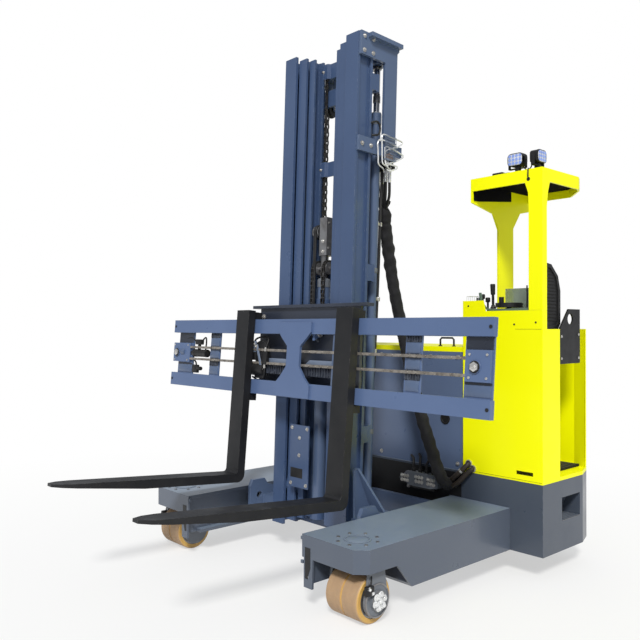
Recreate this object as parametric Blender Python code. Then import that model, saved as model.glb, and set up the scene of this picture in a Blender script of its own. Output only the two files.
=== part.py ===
# Multidirectional stand-on reach truck, built in metres, forks pointing along -Y.
# Every piece is laid out from the front axle line and then shifted so that the
# whole truck is centred on the origin with its wheels on Z = 0.
import math

import bmesh
import bpy
from mathutils import Matrix
from mathutils import Vector

# Leans of the mast and of the fork frame, in degrees.
MAST_LEAN = 2.09
FRAME_LEAN = 4.9
# Mast foot on the floor line and the top front edge of the fork frame.
MAST_FOOT_Y = 0.379
FRAME_EDGE_Y = 0.309
FRAME_EDGE_Z = 1.385
# Rear face of the body.
REAR_Y = 1.66
# Fork blade measured inside the fork frame.
FORK_FACE_Y = -0.055
FORK_LENGTH = 1.10
FORK_TOP_Z = 0.052
BLADE_TOP_Z = -0.923
FORK_THICK = 0.05
FORK_HALF_WIDTH = 0.06
FORK_X = 0.44
# Front wheels.
WHEEL_X = 0.745
WHEEL_RADIUS = 0.112
WHEEL_Y = 0.045
# Rear drive wheel and support wheel.
DRIVE_X = -0.45
DRIVE_Y = 1.36
CASTER_X = 0.62
CASTER_Y = 1.34
CASTER_TRAIL = 0.05
# Lift cylinders, free lift cylinder and tilt pivot, inside the mast.
LIFT_X = 0.238
LIFT_Y = 0.237
FREE_Y = 0.082
PIVOT_Y = -0.071
PIVOT_Z = 1.30
# Inner edge of the fork frame's left end post.
POST_X = -1.075
ROD_RADIUS = 0.018
TIE_Y = 0.155
# Underside of the middle mast's top beam, chain sheaves and hose wheel.
MID_TOP_Z = 2.862
SHEAVE_Z = 1.685
HOSE_WHEEL_Z = 1.90
# Inner side plate and top of the overhead guard.
GUARD_X = 0.642
ROOF_TOP_Z = 2.184
# Gap left between two pieces that rest on each other.
SEAT = 0.0003

LEAN = math.radians(FRAME_LEAN)
TIP_DY = (FORK_FACE_Y - FORK_LENGTH) * math.cos(LEAN)
TIP_Y = FRAME_EDGE_Y + TIP_DY + BLADE_TOP_Z * math.sin(LEAN)
CENTRE_Y = (TIP_Y + REAR_Y) / 2

BASE = Matrix.Translation((0.0, -CENTRE_Y, 0.0))
MAST = (BASE @ Matrix.Translation((0.0, MAST_FOOT_Y, 0.0))
        @ Matrix.Rotation(math.radians(-MAST_LEAN), 4, "X"))
FRAME = (BASE @ Matrix.Translation((0.0, FRAME_EDGE_Y, FRAME_EDGE_Z))
         @ Matrix.Rotation(math.radians(-FRAME_LEAN), 4, "X"))

# finish: red, green, blue, metallic, roughness
FINISHES = {
    "slate_paint": (0.13, 0.17, 0.25, 0.0, 0.35),
    "yellow_paint": (0.85, 0.85, 0.01, 0.0, 0.35),
    "fork_steel": (0.03, 0.03, 0.03, 0.4, 0.5),
    "bare_steel": (0.45, 0.45, 0.45, 0.9, 0.3),
    "polyurethane": (0.42, 0.24, 0.10, 0.0, 0.5),
    "black_plastic": (0.02, 0.02, 0.02, 0.0, 0.5),
    "rubber": (0.03, 0.03, 0.03, 0.0, 0.8),
    "grey_paint": (0.20, 0.22, 0.25, 0.0, 0.4),
    "screen_plastic": (0.35, 0.40, 0.42, 0.0, 0.2),
}


def clear_file():
    for old in list(bpy.data.objects):
        bpy.data.objects.remove(old, do_unlink=True)


def get_finish(name):
    found = bpy.data.materials.get(name)
    if found is not None:
        return found
    red, green, blue, metallic, roughness = FINISHES[name]
    made = bpy.data.materials.new(name)
    made.use_nodes = True
    shader = made.node_tree.nodes["Principled BSDF"]
    shader.inputs["Base Color"].default_value = (red, green, blue, 1.0)
    shader.inputs["Metallic"].default_value = metallic
    shader.inputs["Roughness"].default_value = roughness
    made.diffuse_color = (red, green, blue, 1.0)
    return made


def box(x0, x1, y0, y1, z0, z1):
    corners = [(x, y, z) for x in (x0, x1) for y in (y0, y1) for z in (z0, z1)]
    faces = [(0, 1, 3, 2), (4, 6, 7, 5), (0, 4, 5, 1),
             (2, 3, 7, 6), (0, 2, 6, 4), (1, 5, 7, 3)]
    return corners, faces


def spot(axis, first, second, along):
    if axis == "x":
        return (along, first, second)
    if axis == "y":
        return (first, along, second)
    return (first, second, along)


def prism(axis, outline, start, end):
    count = len(outline)
    corners = [spot(axis, a, b, start) for a, b in outline]
    corners += [spot(axis, a, b, end) for a, b in outline]
    faces = [tuple(range(count)), tuple(range(2 * count - 1, count - 1, -1))]
    for i in range(count):
        j = (i + 1) % count
        faces.append((i, j, count + j, count + i))
    return corners, faces


def circle(centre, radius, sides, first=0.0, last=2 * math.pi):
    full = abs(last - first) > 6.28
    steps = sides if full else sides - 1
    points = []
    for i in range(sides):
        angle = first + (last - first) * i / steps
        points.append((centre[0] + radius * math.cos(angle),
                       centre[1] + radius * math.sin(angle)))
    return points


def rounded(u0, u1, v0, v1, radius, sides=4):
    # outline of a rectangle with round corners
    outline = []
    for u, v, first in ((u1 - radius, v1 - radius, 0), (u0 + radius, v1 - radius, 90),
                        (u0 + radius, v0 + radius, 180), (u1 - radius, v0 + radius, 270)):
        outline += circle((u, v), radius, sides, math.radians(first),
                          math.radians(first + 90))
    return outline


def rod(axis, centre, radius, start, end, sides=20):
    return prism(axis, circle(centre, radius, sides), start, end)


def lathe(axis, centre, profile, sides=32):
    # profile: (radius, position along the axis), a closed loop
    corners = []
    rows = len(profile)
    for i in range(sides):
        angle = 2 * math.pi * i / sides
        for radius, along in profile:
            first = centre[0] + radius * math.cos(angle)
            second = centre[1] + radius * math.sin(angle)
            corners.append(spot(axis, first, second, along))
    faces = []
    for i in range(sides):
        k = (i + 1) % sides
        for j in range(rows):
            m = (j + 1) % rows
            faces.append((i * rows + j, i * rows + m, k * rows + m, k * rows + j))
    return corners, faces


def tube(path, radius, sides=12):
    corners = []
    points = [Vector(p) for p in path]
    across = None
    for i, point in enumerate(points):
        ahead = points[min(i + 1, len(points) - 1)] - points[max(i - 1, 0)]
        ahead.normalize()
        if across is None:
            helper = Vector((1, 0, 0)) if abs(ahead.x) < 0.9 else Vector((0, 1, 0))
            across = ahead.cross(helper).normalized()
        across = (across - ahead * across.dot(ahead)).normalized()
        other = ahead.cross(across)
        for k in range(sides):
            angle = 2 * math.pi * k / sides
            offset = across * math.cos(angle) + other * math.sin(angle)
            corners.append(tuple(point + offset * radius))
    faces = [tuple(range(sides - 1, -1, -1))]
    last = (len(points) - 1) * sides
    faces.append(tuple(range(last, last + sides)))
    for i in range(len(points) - 1):
        for k in range(sides):
            m = (k + 1) % sides
            faces.append((i * sides + k, i * sides + m,
                          (i + 1) * sides + m, (i + 1) * sides + k))
    return corners, faces


def mirrored(shape):
    corners, faces = shape
    turned = [(-x, y, z) for x, y, z in corners]
    return turned, [tuple(reversed(face)) for face in faces]


def side_of(shape, side):
    return shape if side > 0 else mirrored(shape)


def both(shape):
    return [shape, mirrored(shape)]


def make_mesh(name, shapes, place):
    build = bmesh.new()
    for corners, faces in shapes:
        made = [build.verts.new(place @ Vector(c)) for c in corners]
        for face in faces:
            build.faces.new([made[i] for i in face])
    bmesh.ops.recalc_face_normals(build, faces=build.faces)
    mesh = bpy.data.meshes.new(name)
    build.to_mesh(mesh)
    build.free()
    return mesh


def add_tool(name, shapes, place):
    tool = bpy.data.objects.new(name, make_mesh(name, shapes, place))
    tool.hide_render = True
    tool.display_type = "WIRE"
    bpy.context.scene.collection.objects.link(tool)
    return tool


def add_piece(name, finish, body, steps=(), place=BASE, smooth=False):
    # body: shapes that don't touch each other; steps: ("add" or "cut", such shapes)
    piece = bpy.data.objects.new(name, make_mesh(name, body, place))
    piece.data.materials.append(get_finish(finish))
    bpy.context.scene.collection.objects.link(piece)
    for i, (kind, shapes) in enumerate(steps):
        label = f"{name}_{kind}_{i}"
        step = piece.modifiers.new(label, "BOOLEAN")
        step.operation = "UNION" if kind == "add" else "DIFFERENCE"
        step.solver = "EXACT"
        step.object = add_tool(label, shapes, place)
    if smooth:
        for face in piece.data.polygons:
            face.use_smooth = True
        piece.data.set_sharp_from_angle(angle=math.radians(40))
    return piece


def add_legs():
    skirt = 2 * WHEEL_RADIUS + 0.026
    for side, word in ((1, "right"), (-1, "left")):
        def on_side(*shapes):
            return [side_of(shape, side) for shape in shapes]

        top = [(0.503, -0.085), (0.845, -0.085), (0.897, -0.032),
               (0.897, 1.067 - SEAT), (0.503, 1.067 - SEAT)]
        low = [(0.15, skirt + 0.003), (0.15, skirt), (0.25, 0.132),
               (1.067 - SEAT, 0.132), (1.067 - SEAT, skirt + 0.003)]
        plate = [(0.515, 0.11), (0.572, 0.11), (0.578, 0.26), (0.515, 0.26)]
        well = [(0.56, -0.073), (0.84, -0.073), (0.885, -0.028),
                (0.885, 0.235), (0.56, 0.235)]
        slot = [(0.532, 0.15), (0.546, 0.15), (0.556, 0.29), (0.532, 0.29)]
        add_piece(
            f"leg_{word}", "slate_paint",
            on_side(prism("z", top, skirt, 0.358)),
            [
                ("add", on_side(prism("x", low, 0.545, 0.897))),
                ("add", on_side(prism("y", plate, -0.085, -0.073),
                                box(0.503, 0.56, 0.0, 1.067 - SEAT, 0.132, 0.150))),
                ("add", on_side(box(0.545, 0.56, -0.08, 0.3, 0.132, 0.26))),
                ("cut", on_side(box(0.49, 0.545, -0.073, 1.1, 0.150, 0.340))),
                ("cut", on_side(prism("z", well, 0.05, 0.340))),
                ("cut", on_side(box(0.56, 0.885, 0.25, 1.1, 0.144, 0.340))),
                ("cut", on_side(prism("y", slot, -0.1, -0.06))),
            ])


def add_chassis():
    outline = [(1.095, 1.067), (1.095, 1.49), (1.05, 1.62), (0.96, REAR_Y),
               (-0.96, REAR_Y), (-1.05, 1.62), (-1.095, 1.49), (-1.095, 1.067)]
    inside = [(1.083, 1.079), (1.083, 1.488), (1.04, 1.611), (0.955, REAR_Y - 0.012),
              (-0.955, REAR_Y - 0.012), (-1.04, 1.611), (-1.083, 1.488),
              (-1.083, 1.079)]
    step = [(1.12, 0.292), (0.99, 0.292), (0.99, 0.330), (1.03, 0.418), (1.12, 0.418)]
    step_box = [(1.09, 0.280), (0.978, 0.280), (0.978, 0.333), (1.022, 0.430),
                (1.09, 0.430)]
    add_piece(
        "chassis", "slate_paint",
        [prism("z", outline, 0.132, 0.511)],
        [("cut", [prism("z", inside, 0.05, 0.491)]),
         ("cut", [rod("z", (DRIVE_X, DRIVE_Y), 0.09, 0.45, 0.55),
                  box(0.60, 1.0, 1.12, 1.55, 0.45, 0.55),
                  rod("y", (0.0, 0.245), 0.0403, 1.0, 1.1, 24)]),
         ("add", [prism("y", step_box, 1.250, 1.471)]),
         ("cut", [prism("y", step, 1.262, 1.459)])])


def add_front_wheels():
    rim = WHEEL_RADIUS
    bore = rim - 0.026
    seat = bore - SEAT
    crown_top = 2 * rim + 0.018
    tyre = [(bore, -0.103), (rim - 0.008, -0.103), (rim, -0.095), (rim, -0.008),
            (rim - 0.006, -0.004), (rim - 0.006, 0.004), (rim, 0.008), (rim, 0.095),
            (rim - 0.008, 0.103), (bore, 0.103)]
    hub = [(0.030, -0.100), (seat, -0.100), (seat, -0.065), (0.055, -0.055),
           (0.055, 0.055), (seat, 0.065), (seat, 0.100), (0.030, 0.100)]
    for side, word in ((1, "right"), (-1, "left")):
        def shifted(profile):
            return [(r, side * (WHEEL_X + a)) for r, a in profile]

        centre = (WHEEL_Y, rim)
        add_piece(f"front_tyre_{word}", "polyurethane",
                  [lathe("x", centre, shifted(tyre), 40)], smooth=True)
        add_piece(f"front_hub_{word}", "bare_steel",
                  [lathe("x", centre, shifted(hub), 40)], smooth=True)
        arm = circle(centre, 0.078, 18, math.radians(35), math.radians(-215))
        arm += [(WHEEL_Y - 0.05, crown_top + 0.001), (WHEEL_Y + 0.05, crown_top + 0.001)]
        shapes = [prism("x", arm, WHEEL_X + 0.109, WHEEL_X + 0.124),
                  prism("x", arm, WHEEL_X - 0.124, WHEEL_X - 0.109)]
        crown = [box(WHEEL_X - 0.120, WHEEL_X + 0.120, WHEEL_Y - 0.048,
                     WHEEL_Y + 0.048, crown_top - 0.012, crown_top)]
        pin = [rod("z", (WHEEL_X, WHEEL_Y), 0.06, crown_top - 0.004, 0.3395, 24)]
        axle = [rod("x", centre, 0.0295, WHEEL_X - 0.115, WHEEL_X + 0.115, 24)]
        boss = [rod("x", centre, 0.046, WHEEL_X + 0.115, WHEEL_X + 0.138, 24)]
        add_piece(f"knuckle_{word}", "grey_paint",
                  [side_of(s, side) for s in shapes],
                  [("add", [side_of(s, side) for s in crown]),
                   ("add", [side_of(s, side) for s in pin]),
                   ("add", [side_of(s, side) for s in axle]),
                   ("add", [side_of(s, side) for s in boss])])


def add_rear_wheels():
    tyre = [(0.135, -0.070), (0.160, -0.070), (0.1715, -0.062), (0.1715, 0.062),
            (0.160, 0.070), (0.135, 0.070)]
    hub = [(0.025, -0.06), (0.1347, -0.06), (0.1347, 0.066), (0.025, 0.066)]
    centre = (DRIVE_Y, 0.1715)
    add_piece("drive_tyre", "polyurethane",
              [lathe("x", centre, [(r, DRIVE_X + a) for r, a in tyre], 40)], smooth=True)
    add_piece("drive_hub", "bare_steel",
              [lathe("x", centre, [(r, DRIVE_X + a) for r, a in hub], 40)], smooth=True)
    gearbox = [(DRIVE_Y - 0.10, 0.40), (DRIVE_Y - 0.10, 0.22), (DRIVE_Y - 0.05, 0.10),
               (DRIVE_Y + 0.05, 0.10), (DRIVE_Y + 0.10, 0.22), (DRIVE_Y + 0.10, 0.40)]
    add_piece("drive_unit", "black_plastic",
              [prism("x", gearbox, DRIVE_X - 0.15, DRIVE_X - 0.078)],
              [("add", [rod("z", (DRIVE_X, DRIVE_Y), 0.19, 0.352, 0.42, 32)]),
               ("add", [rod("z", (DRIVE_X, DRIVE_Y), 0.13, 0.41, 0.4905, 32)]),
               ("add", [rod("x", centre, 0.0245, DRIVE_X - 0.10, DRIVE_X + 0.06)])])
    tyre = [(0.075, -0.048), (0.092, -0.048), (0.10, -0.042), (0.10, -0.004),
            (0.095, 0.0), (0.10, 0.004), (0.10, 0.042), (0.092, 0.048), (0.075, 0.048)]
    hub = [(0.015, -0.046), (0.0747, -0.046), (0.0747, 0.046), (0.015, 0.046)]
    centre = (CASTER_Y + CASTER_TRAIL, 0.10)
    add_piece("caster_tyre", "polyurethane",
              [lathe("x", centre, [(r, CASTER_X + a) for r, a in tyre], 36)], smooth=True)
    add_piece("caster_hub", "bare_steel",
              [lathe("x", centre, [(r, CASTER_X + a) for r, a in hub], 36)], smooth=True)
    back = CASTER_Y + CASTER_TRAIL
    arm = [(CASTER_Y - 0.07, 0.24), (CASTER_Y - 0.02, 0.14), (back - 0.03, 0.07),
           (back + 0.03, 0.07), (back + 0.04, 0.12), (CASTER_Y + 0.07, 0.24)]
    add_piece("caster_fork", "grey_paint",
              [prism("x", arm, CASTER_X - 0.068, CASTER_X - 0.054),
               prism("x", arm, CASTER_X + 0.054, CASTER_X + 0.068)],
              [("add", [box(CASTER_X - 0.068, CASTER_X + 0.068,
                            CASTER_Y - 0.07, CASTER_Y + 0.07, 0.225, 0.245)]),
               ("add", [rod("z", (CASTER_X, CASTER_Y), 0.07, 0.24, 0.27, 28)]),
               ("add", [rod("z", (CASTER_X, CASTER_Y), 0.05, 0.26, 0.2895, 28)]),
               ("add", [rod("x", centre, 0.0145, CASTER_X - 0.06, CASTER_X + 0.06)])])
    add_piece("caster_mount", "slate_paint",
              [box(CASTER_X - 0.12, CASTER_X + 0.12, CASTER_Y - 0.12, CASTER_Y + 0.12,
                   0.290, 0.302)],
              [("add", [box(CASTER_X - 0.12, CASTER_X - 0.108, 1.0793, REAR_Y - 0.0123,
                            0.290, 0.4907),
                        box(CASTER_X + 0.108, CASTER_X + 0.12, 1.0793, REAR_Y - 0.0123,
                            0.290, 0.4907)])])


def add_battery():
    add_piece("battery_box", "slate_paint",
              [box(-1.08, 0.576, 1.08, 1.62, 0.5113, 1.195)],
              [("cut", [box(-1.072, 0.568, 1.088, 1.612, 0.52, 1.3)]),
               ("cut", [box(-1.2, -0.9, 1.57, 1.8, 0.3, 1.4)])])
    add_piece("battery_block", "black_plastic",
              [box(-0.89, 0.56, 1.095, 1.605, 0.5203, 1.14)])
    lid = [(-1.08, 1.08), (0.576, 1.08), (0.576, 1.62), (-0.89, 1.62),
           (-0.89, 1.56), (-1.08, 1.56)]
    grip = [(0.375, 1.13, 1.215), (0.375, 1.13, 1.255), (0.385, 1.13, 1.265),
            (0.465, 1.13, 1.265), (0.475, 1.13, 1.255), (0.475, 1.13, 1.215)]
    add_piece("battery_lid", "yellow_paint", [prism("z", lid, 1.1953, 1.225)],
              [("cut", [box(-1.07, 0.566, 1.09, 1.552, 1.18, 1.219)])])
    add_piece("lid_handle", "black_plastic",
              [tube([(x, y, z + 0.0103) for x, y, z in grip], 0.006, 10)], smooth=True)


def add_cabin():
    outline = [(0.587, 1.067), (1.095, 1.067), (1.095, 1.49), (1.05, 1.62),
               (0.96, REAR_Y), (0.587, REAR_Y)]
    inside = [(0.593, 1.073), (1.089, 1.073), (1.089, 1.489), (1.045, 1.615),
              (0.957, REAR_Y - 0.006), (0.593, REAR_Y - 0.006)]
    dip = [(0.70, 1.6), (0.74, 1.43), (1.2, 1.43), (1.2, 1.6)]
    add_piece("cabin_body", "yellow_paint",
              [prism("z", outline, 0.5113, 1.49)],
              [("cut", [prism("z", inside, 0.526, 1.6)]),
               ("cut", [box(0.5, 1.2, 1.112, 1.8, 1.33, 1.6)]),
               ("cut", [prism("y", dip, 1.0, 1.2)]),
               ("cut", [box(1.0, 1.2, 1.244, 1.61, 0.532, 1.6)]),
               ("cut", [box(0.935, 1.037, 1.06, 1.09, 0.548, 0.568)])])
    add_piece("floor_mat", "rubber",
              [box(0.600, 1.0, 1.08, 1.63, 0.5263, 0.540)])
    add_piece("console", "grey_paint",
              [box(0.600, 1.005, 1.0733, 1.235, 1.20, 1.415)],
              [("cut", [box(0.59, 1.02, 1.10, 1.30, 1.10, 1.40)])])
    roof = [(GUARD_X, 1.067), (1.095, 1.067), (1.095, 1.452), (1.07, 1.51),
            (0.94, REAR_Y), (GUARD_X, REAR_Y)]
    under = [(0.652, 1.077), (1.085, 1.077), (1.085, 1.447), (1.062, 1.503),
             (0.936, REAR_Y - 0.01), (0.652, REAR_Y - 0.01)]
    liner = [(0.66, 1.085), (1.077, 1.085), (1.077, 1.445), (1.054, 1.50),
             (0.932, 1.64), (0.66, 1.64)]
    plate = [(1.067, 2.05), (1.275, 2.009), (1.329, 1.919), (1.329, 1.3303),
             (1.488, 1.3303), (1.488, 1.94), (1.565, 2.04), (REAR_Y, 2.06),
             (REAR_Y, 2.14), (1.067, 2.14)]
    front = [(0.985, 2.13), (1.01, 2.06), (1.013, 1.98), (1.013, 1.4303),
             (1.095, 1.4303), (1.095, 2.13)]
    flare = [(1.067, 2.13), (1.067, 1.4303), (1.112, 1.4303), (1.112, 1.98),
             (1.125, 2.06), (1.15, 2.13)]
    add_piece("overhead_guard", "yellow_paint",
              [prism("z", roof, 2.114, ROOF_TOP_Z)],
              [("cut", [prism("z", under, 2.05, ROOF_TOP_Z - 0.008)]),
               ("add", [prism("x", plate, GUARD_X, GUARD_X + 0.01)]),
               ("add", [prism("y", front, 1.067, 1.077)]),
               ("add", [prism("x", flare, 1.085, 1.095)]),
               ("add", [box(1.013, 1.095, 1.067, 1.112, 1.4303, 2.0)])])
    add_piece("roof_liner", "black_plastic",
              [prism("z", liner, ROOF_TOP_Z - 0.026, ROOF_TOP_Z - 0.008 - SEAT)])
    add_piece("guard_foot", "yellow_paint",
              [box(0.5933, GUARD_X - SEAT, 1.329, 1.488, 1.25, 1.45)],
              [("cut", [box(0.6, 0.635, 1.3, 1.5, 1.26, 1.5)])])
    for name, x, y, z, turned in (("work_lamp_front", 0.93, 1.10, 2.25, False),
                                  ("work_lamp_side", 1.03, 1.13, 2.255, True)):
        if turned:
            face = rounded(y - 0.045, y + 0.045, z - 0.035, z + 0.035, 0.022)
            head = prism("x", face, x - 0.02, x + 0.025)
        else:
            face = rounded(x - 0.05, x + 0.045, z - 0.035, z + 0.035, 0.022)
            head = prism("y", face, y - 0.025, y + 0.02)
        stem = box(x - 0.012, x + 0.012, y - 0.012, y + 0.012, ROOF_TOP_Z + SEAT,
                   z - 0.02)
        add_piece(name, "black_plastic", [head], [("add", [stem])])
    rest = [(1.1123, 1.69), (1.20, 1.68), (1.27, 1.62), (1.295, 1.54), (1.295, 1.36),
            (1.27, 1.33), (1.1123, 1.32)]
    web = [(1.135, 1.667), (1.192, 1.66), (1.252, 1.61), (1.273, 1.535), (1.273, 1.368),
           (1.258, 1.353), (1.135, 1.345)]
    add_piece("side_pad", "black_plastic", [prism("x", rest, 1.045, 1.07)],
              [("cut", [prism("x", web, 1.04, 1.052), prism("x", web, 1.063, 1.08)])])
    plate = [(1.2443, 1.14), (1.2443, 1.325), (1.343, 1.44), (1.466, 1.44),
             (1.466, 1.14)]
    add_piece("arm_plate", "black_plastic", [prism("x", plate, 1.083, 1.093)],
              [("cut", [rod("x", (1.36, 1.385), 0.03, 1.0, 1.2)])])
    add_piece("wind_screen", "screen_plastic",
              [box(0.76, 1.0, 1.236, 1.242, 1.30, 1.56)])
    add_piece("steering_knob", "black_plastic",
              [rod("z", (0.84, 1.15), 0.012, 1.4153, 1.46)],
              [("add", [rod("z", (0.84, 1.15), 0.075, 1.45, 1.475, 28)]),
               ("add", [rod("z", (0.79, 1.15), 0.014, 1.47, 1.51)])])
    add_piece("control_levers", "black_plastic",
              [box(0.62, 0.72, 1.12, 1.19, 1.4153, 1.43)],
              [("add", [rod("z", (0.635, 1.15), 0.006, 1.42, 1.50, 10),
                        rod("z", (0.665, 1.15), 0.006, 1.42, 1.52, 10),
                        rod("z", (0.70, 1.15), 0.006, 1.42, 1.50, 10)])])


def rail(side, x_in, x_web0, x_web1, x_out, y0, y1, z0, z1, thick):
    # one rail of I or C section seen from above, front flange at y0
    outline = [(x_in, y0), (x_out, y0), (x_out, y0 + thick)]
    if x_out > x_web1 + 0.001:
        outline += [(x_web1, y0 + thick), (x_web1, y1 - thick), (x_out, y1 - thick)]
    outline += [(x_out, y1), (x_in, y1), (x_in, y1 - thick)]
    if x_in < x_web0 - 0.001:
        outline += [(x_web0, y1 - thick), (x_web0, y0 + thick), (x_in, y0 + thick)]
    clean = []
    for point in outline:
        if point not in clean:
            clean.append(point)
    return side_of(prism("z", clean, z0, z1), side)


def add_outer_mast():
    # a rail on each side, and the frame of ties behind them
    levels = ((0.17, 0.30), (0.70, 0.80), (1.60, 1.70), (2.68, 2.78))
    for side, word in ((1, "right"), (-1, "left")):
        add_piece(f"outer_rail_{word}", "slate_paint",
                  [rail(side, 0.216, 0.285, 0.299, 0.3146, 0.0, 0.12, 0.17, 2.982,
                        0.018)],
                  [("add", [side_of(box(0.218, 0.314, 0.11, TIE_Y - SEAT, low + 0.004,
                                        high - 0.004), side)
                            for low, high in levels])],
                  place=MAST)
    add_piece("outer_mast", "slate_paint",
              [box(-0.3146, 0.3146, TIE_Y, TIE_Y + 0.02, low, high)
               for low, high in levels],
              [("add", both(box(0.136, 0.164, TIE_Y + 0.002, TIE_Y + 0.018, 0.20,
                                2.81)))],
              place=MAST)
    arm = [(0.004, 2.852), (0.004, 2.982), (0.318, 2.982), (0.318, 2.945),
           (0.303, 2.93), (0.303, 2.315), (0.004, 2.315), (0.004, 2.398),
           (0.203, 2.398), (0.203, 2.852)]
    add_piece("hose_bracket", "slate_paint",
              [prism("x", arm, 0.3149, 0.333)],
              [("add", [box(0.32, 0.365, 0.06, 0.316, 2.956, 2.98)]),
               ("add", [box(0.17, 0.331, 0.285, 0.36, 2.33, 2.395)])],
              place=MAST)
    for side, word in ((1, "right"), (-1, "left")):
        add_piece(f"lift_barrel_{word}", "slate_paint",
                  [side_of(lathe("z", (LIFT_X, LIFT_Y),
                                 [(ROD_RADIUS + 0.0005, 0.3102), (0.0275, 0.3102),
                                  (0.0275, 2.52), (0.031, 2.525), (0.031, 2.583),
                                  (0.028, 2.588), (ROD_RADIUS + 0.0005, 2.588)], 24),
                           side)],
                  place=MAST, smooth=True)


def add_mid_mast():
    rails = [rail(side, 0.145, 0.190, 0.205, 0.2105, 0.023, 0.147, 0.20, 2.960, 0.016)
             for side in (1, -1)]
    add_piece("mid_mast", "slate_paint", rails,
              [("add", [box(-0.20, 0.20, 0.1315, 0.275, MID_TOP_Z, 2.93),
                        box(-0.19, 0.19, 0.1315, 0.1465, 0.22, 0.32)]),
               ("add", [box(-0.285, 0.285, 0.18, 0.275, MID_TOP_Z, 2.93)]),
               ("cut", [box(-0.075, 0.075, 0.12, 0.1475, 2.85, 2.94)]),
               ("add", both(rod("x", (0.06, 0.40), 0.0415, 0.20, 0.280, 28)))],
              place=MAST)
    for side, word in ((1, "right"), (-1, "left")):
        add_piece(f"lift_rod_{word}", "bare_steel",
                  [side_of(rod("z", (LIFT_X, LIFT_Y), ROD_RADIUS, 0.325,
                               MID_TOP_Z - SEAT, 24), side)],
                  place=MAST, smooth=True)
        add_piece(f"stage_chain_{word}", "bare_steel",
                  [side_of(box(0.076, 0.092, 0.131, 0.1435, 0.32 + SEAT,
                               MID_TOP_Z - SEAT), side)],
                  place=MAST)


def add_inner_mast():
    rails = [rail(side, 0.094, 0.128, 0.139, 0.139, 0.045, 0.125, 0.22, 2.945, 0.014)
             for side in (1, -1)]
    bow = [(-0.13, 0.1165), (-0.062, 0.1165), (-0.05, 0.1335), (0.05, 0.1335),
           (0.062, 0.1165), (0.13, 0.1165), (0.13, 0.1255), (0.066, 0.1255),
           (0.053, 0.1415), (-0.053, 0.1415), (-0.066, 0.1255), (-0.13, 0.1255)]
    add_piece("inner_mast", "slate_paint", rails,
              [("add", [prism("z", bow, 2.84, 2.93), prism("z", bow, 2.245, 2.333),
                        box(-0.13, 0.13, 0.1165, 0.1255, 1.40, 1.50),
                        box(-0.13, 0.13, 0.1165, 0.1255, 0.24, 0.34)]),
               ("add", [rod("z", (0.0, FREE_Y), 0.044, 1.395, 1.505, 24),
                        rod("z", (0.0, FREE_Y), 0.044, 0.235, 0.345, 24)]),
               ("cut", [rod("z", (0.0, FREE_Y), 0.0383, 0.26, 1.55, 24)]),
               ("add", [box(-0.131, -0.100, -0.026, 0.05, 0.46, 0.50),
                        box(-0.131, -0.100, -0.026, 0.05, 0.70, 0.74)]),
               ("add", [box(-0.133, 0.029, -0.030, -0.022, 0.415, 0.773)]),
               ("add", both(rod("x", (0.085, 0.40), 0.0455, 0.135, 0.184, 24)))],
              place=MAST)
    add_piece("free_barrel", "slate_paint",
              [lathe("z", (0.0, FREE_Y),
                     [(0.0235, 0.2605), (0.038, 0.2605), (0.038, 1.62), (0.0235, 1.62)],
                     24)],
              place=MAST, smooth=True)
    wheel = [(0.011, -0.060), (0.040, -0.060), (0.040, -0.052), (0.034, -0.046),
             (0.034, -0.022), (0.040, -0.016), (0.040, -0.008), (0.011, -0.008)]
    add_piece("free_crosshead", "bare_steel",
              [rod("z", (0.0, FREE_Y), 0.023, 0.30, 1.80, 24)],
              [("add", [box(0.0, 0.060, 0.036, 0.111, 1.757, 1.978)]),
               ("add", [rod("x", (0.071, HOSE_WHEEL_Z), 0.012, -0.064, 0.03, 20),
                        rod("x", (0.074, SHEAVE_Z), 0.012, -0.062, 0.062, 20)]),
               ("add", [lathe("x", (0.071, HOSE_WHEEL_Z), wheel, 28),
                        rod("x", (0.074, SHEAVE_Z), 0.037, 0.030, 0.059, 28),
                        rod("x", (0.074, SHEAVE_Z), 0.037, -0.059, -0.030, 28)])],
              place=MAST)


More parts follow.
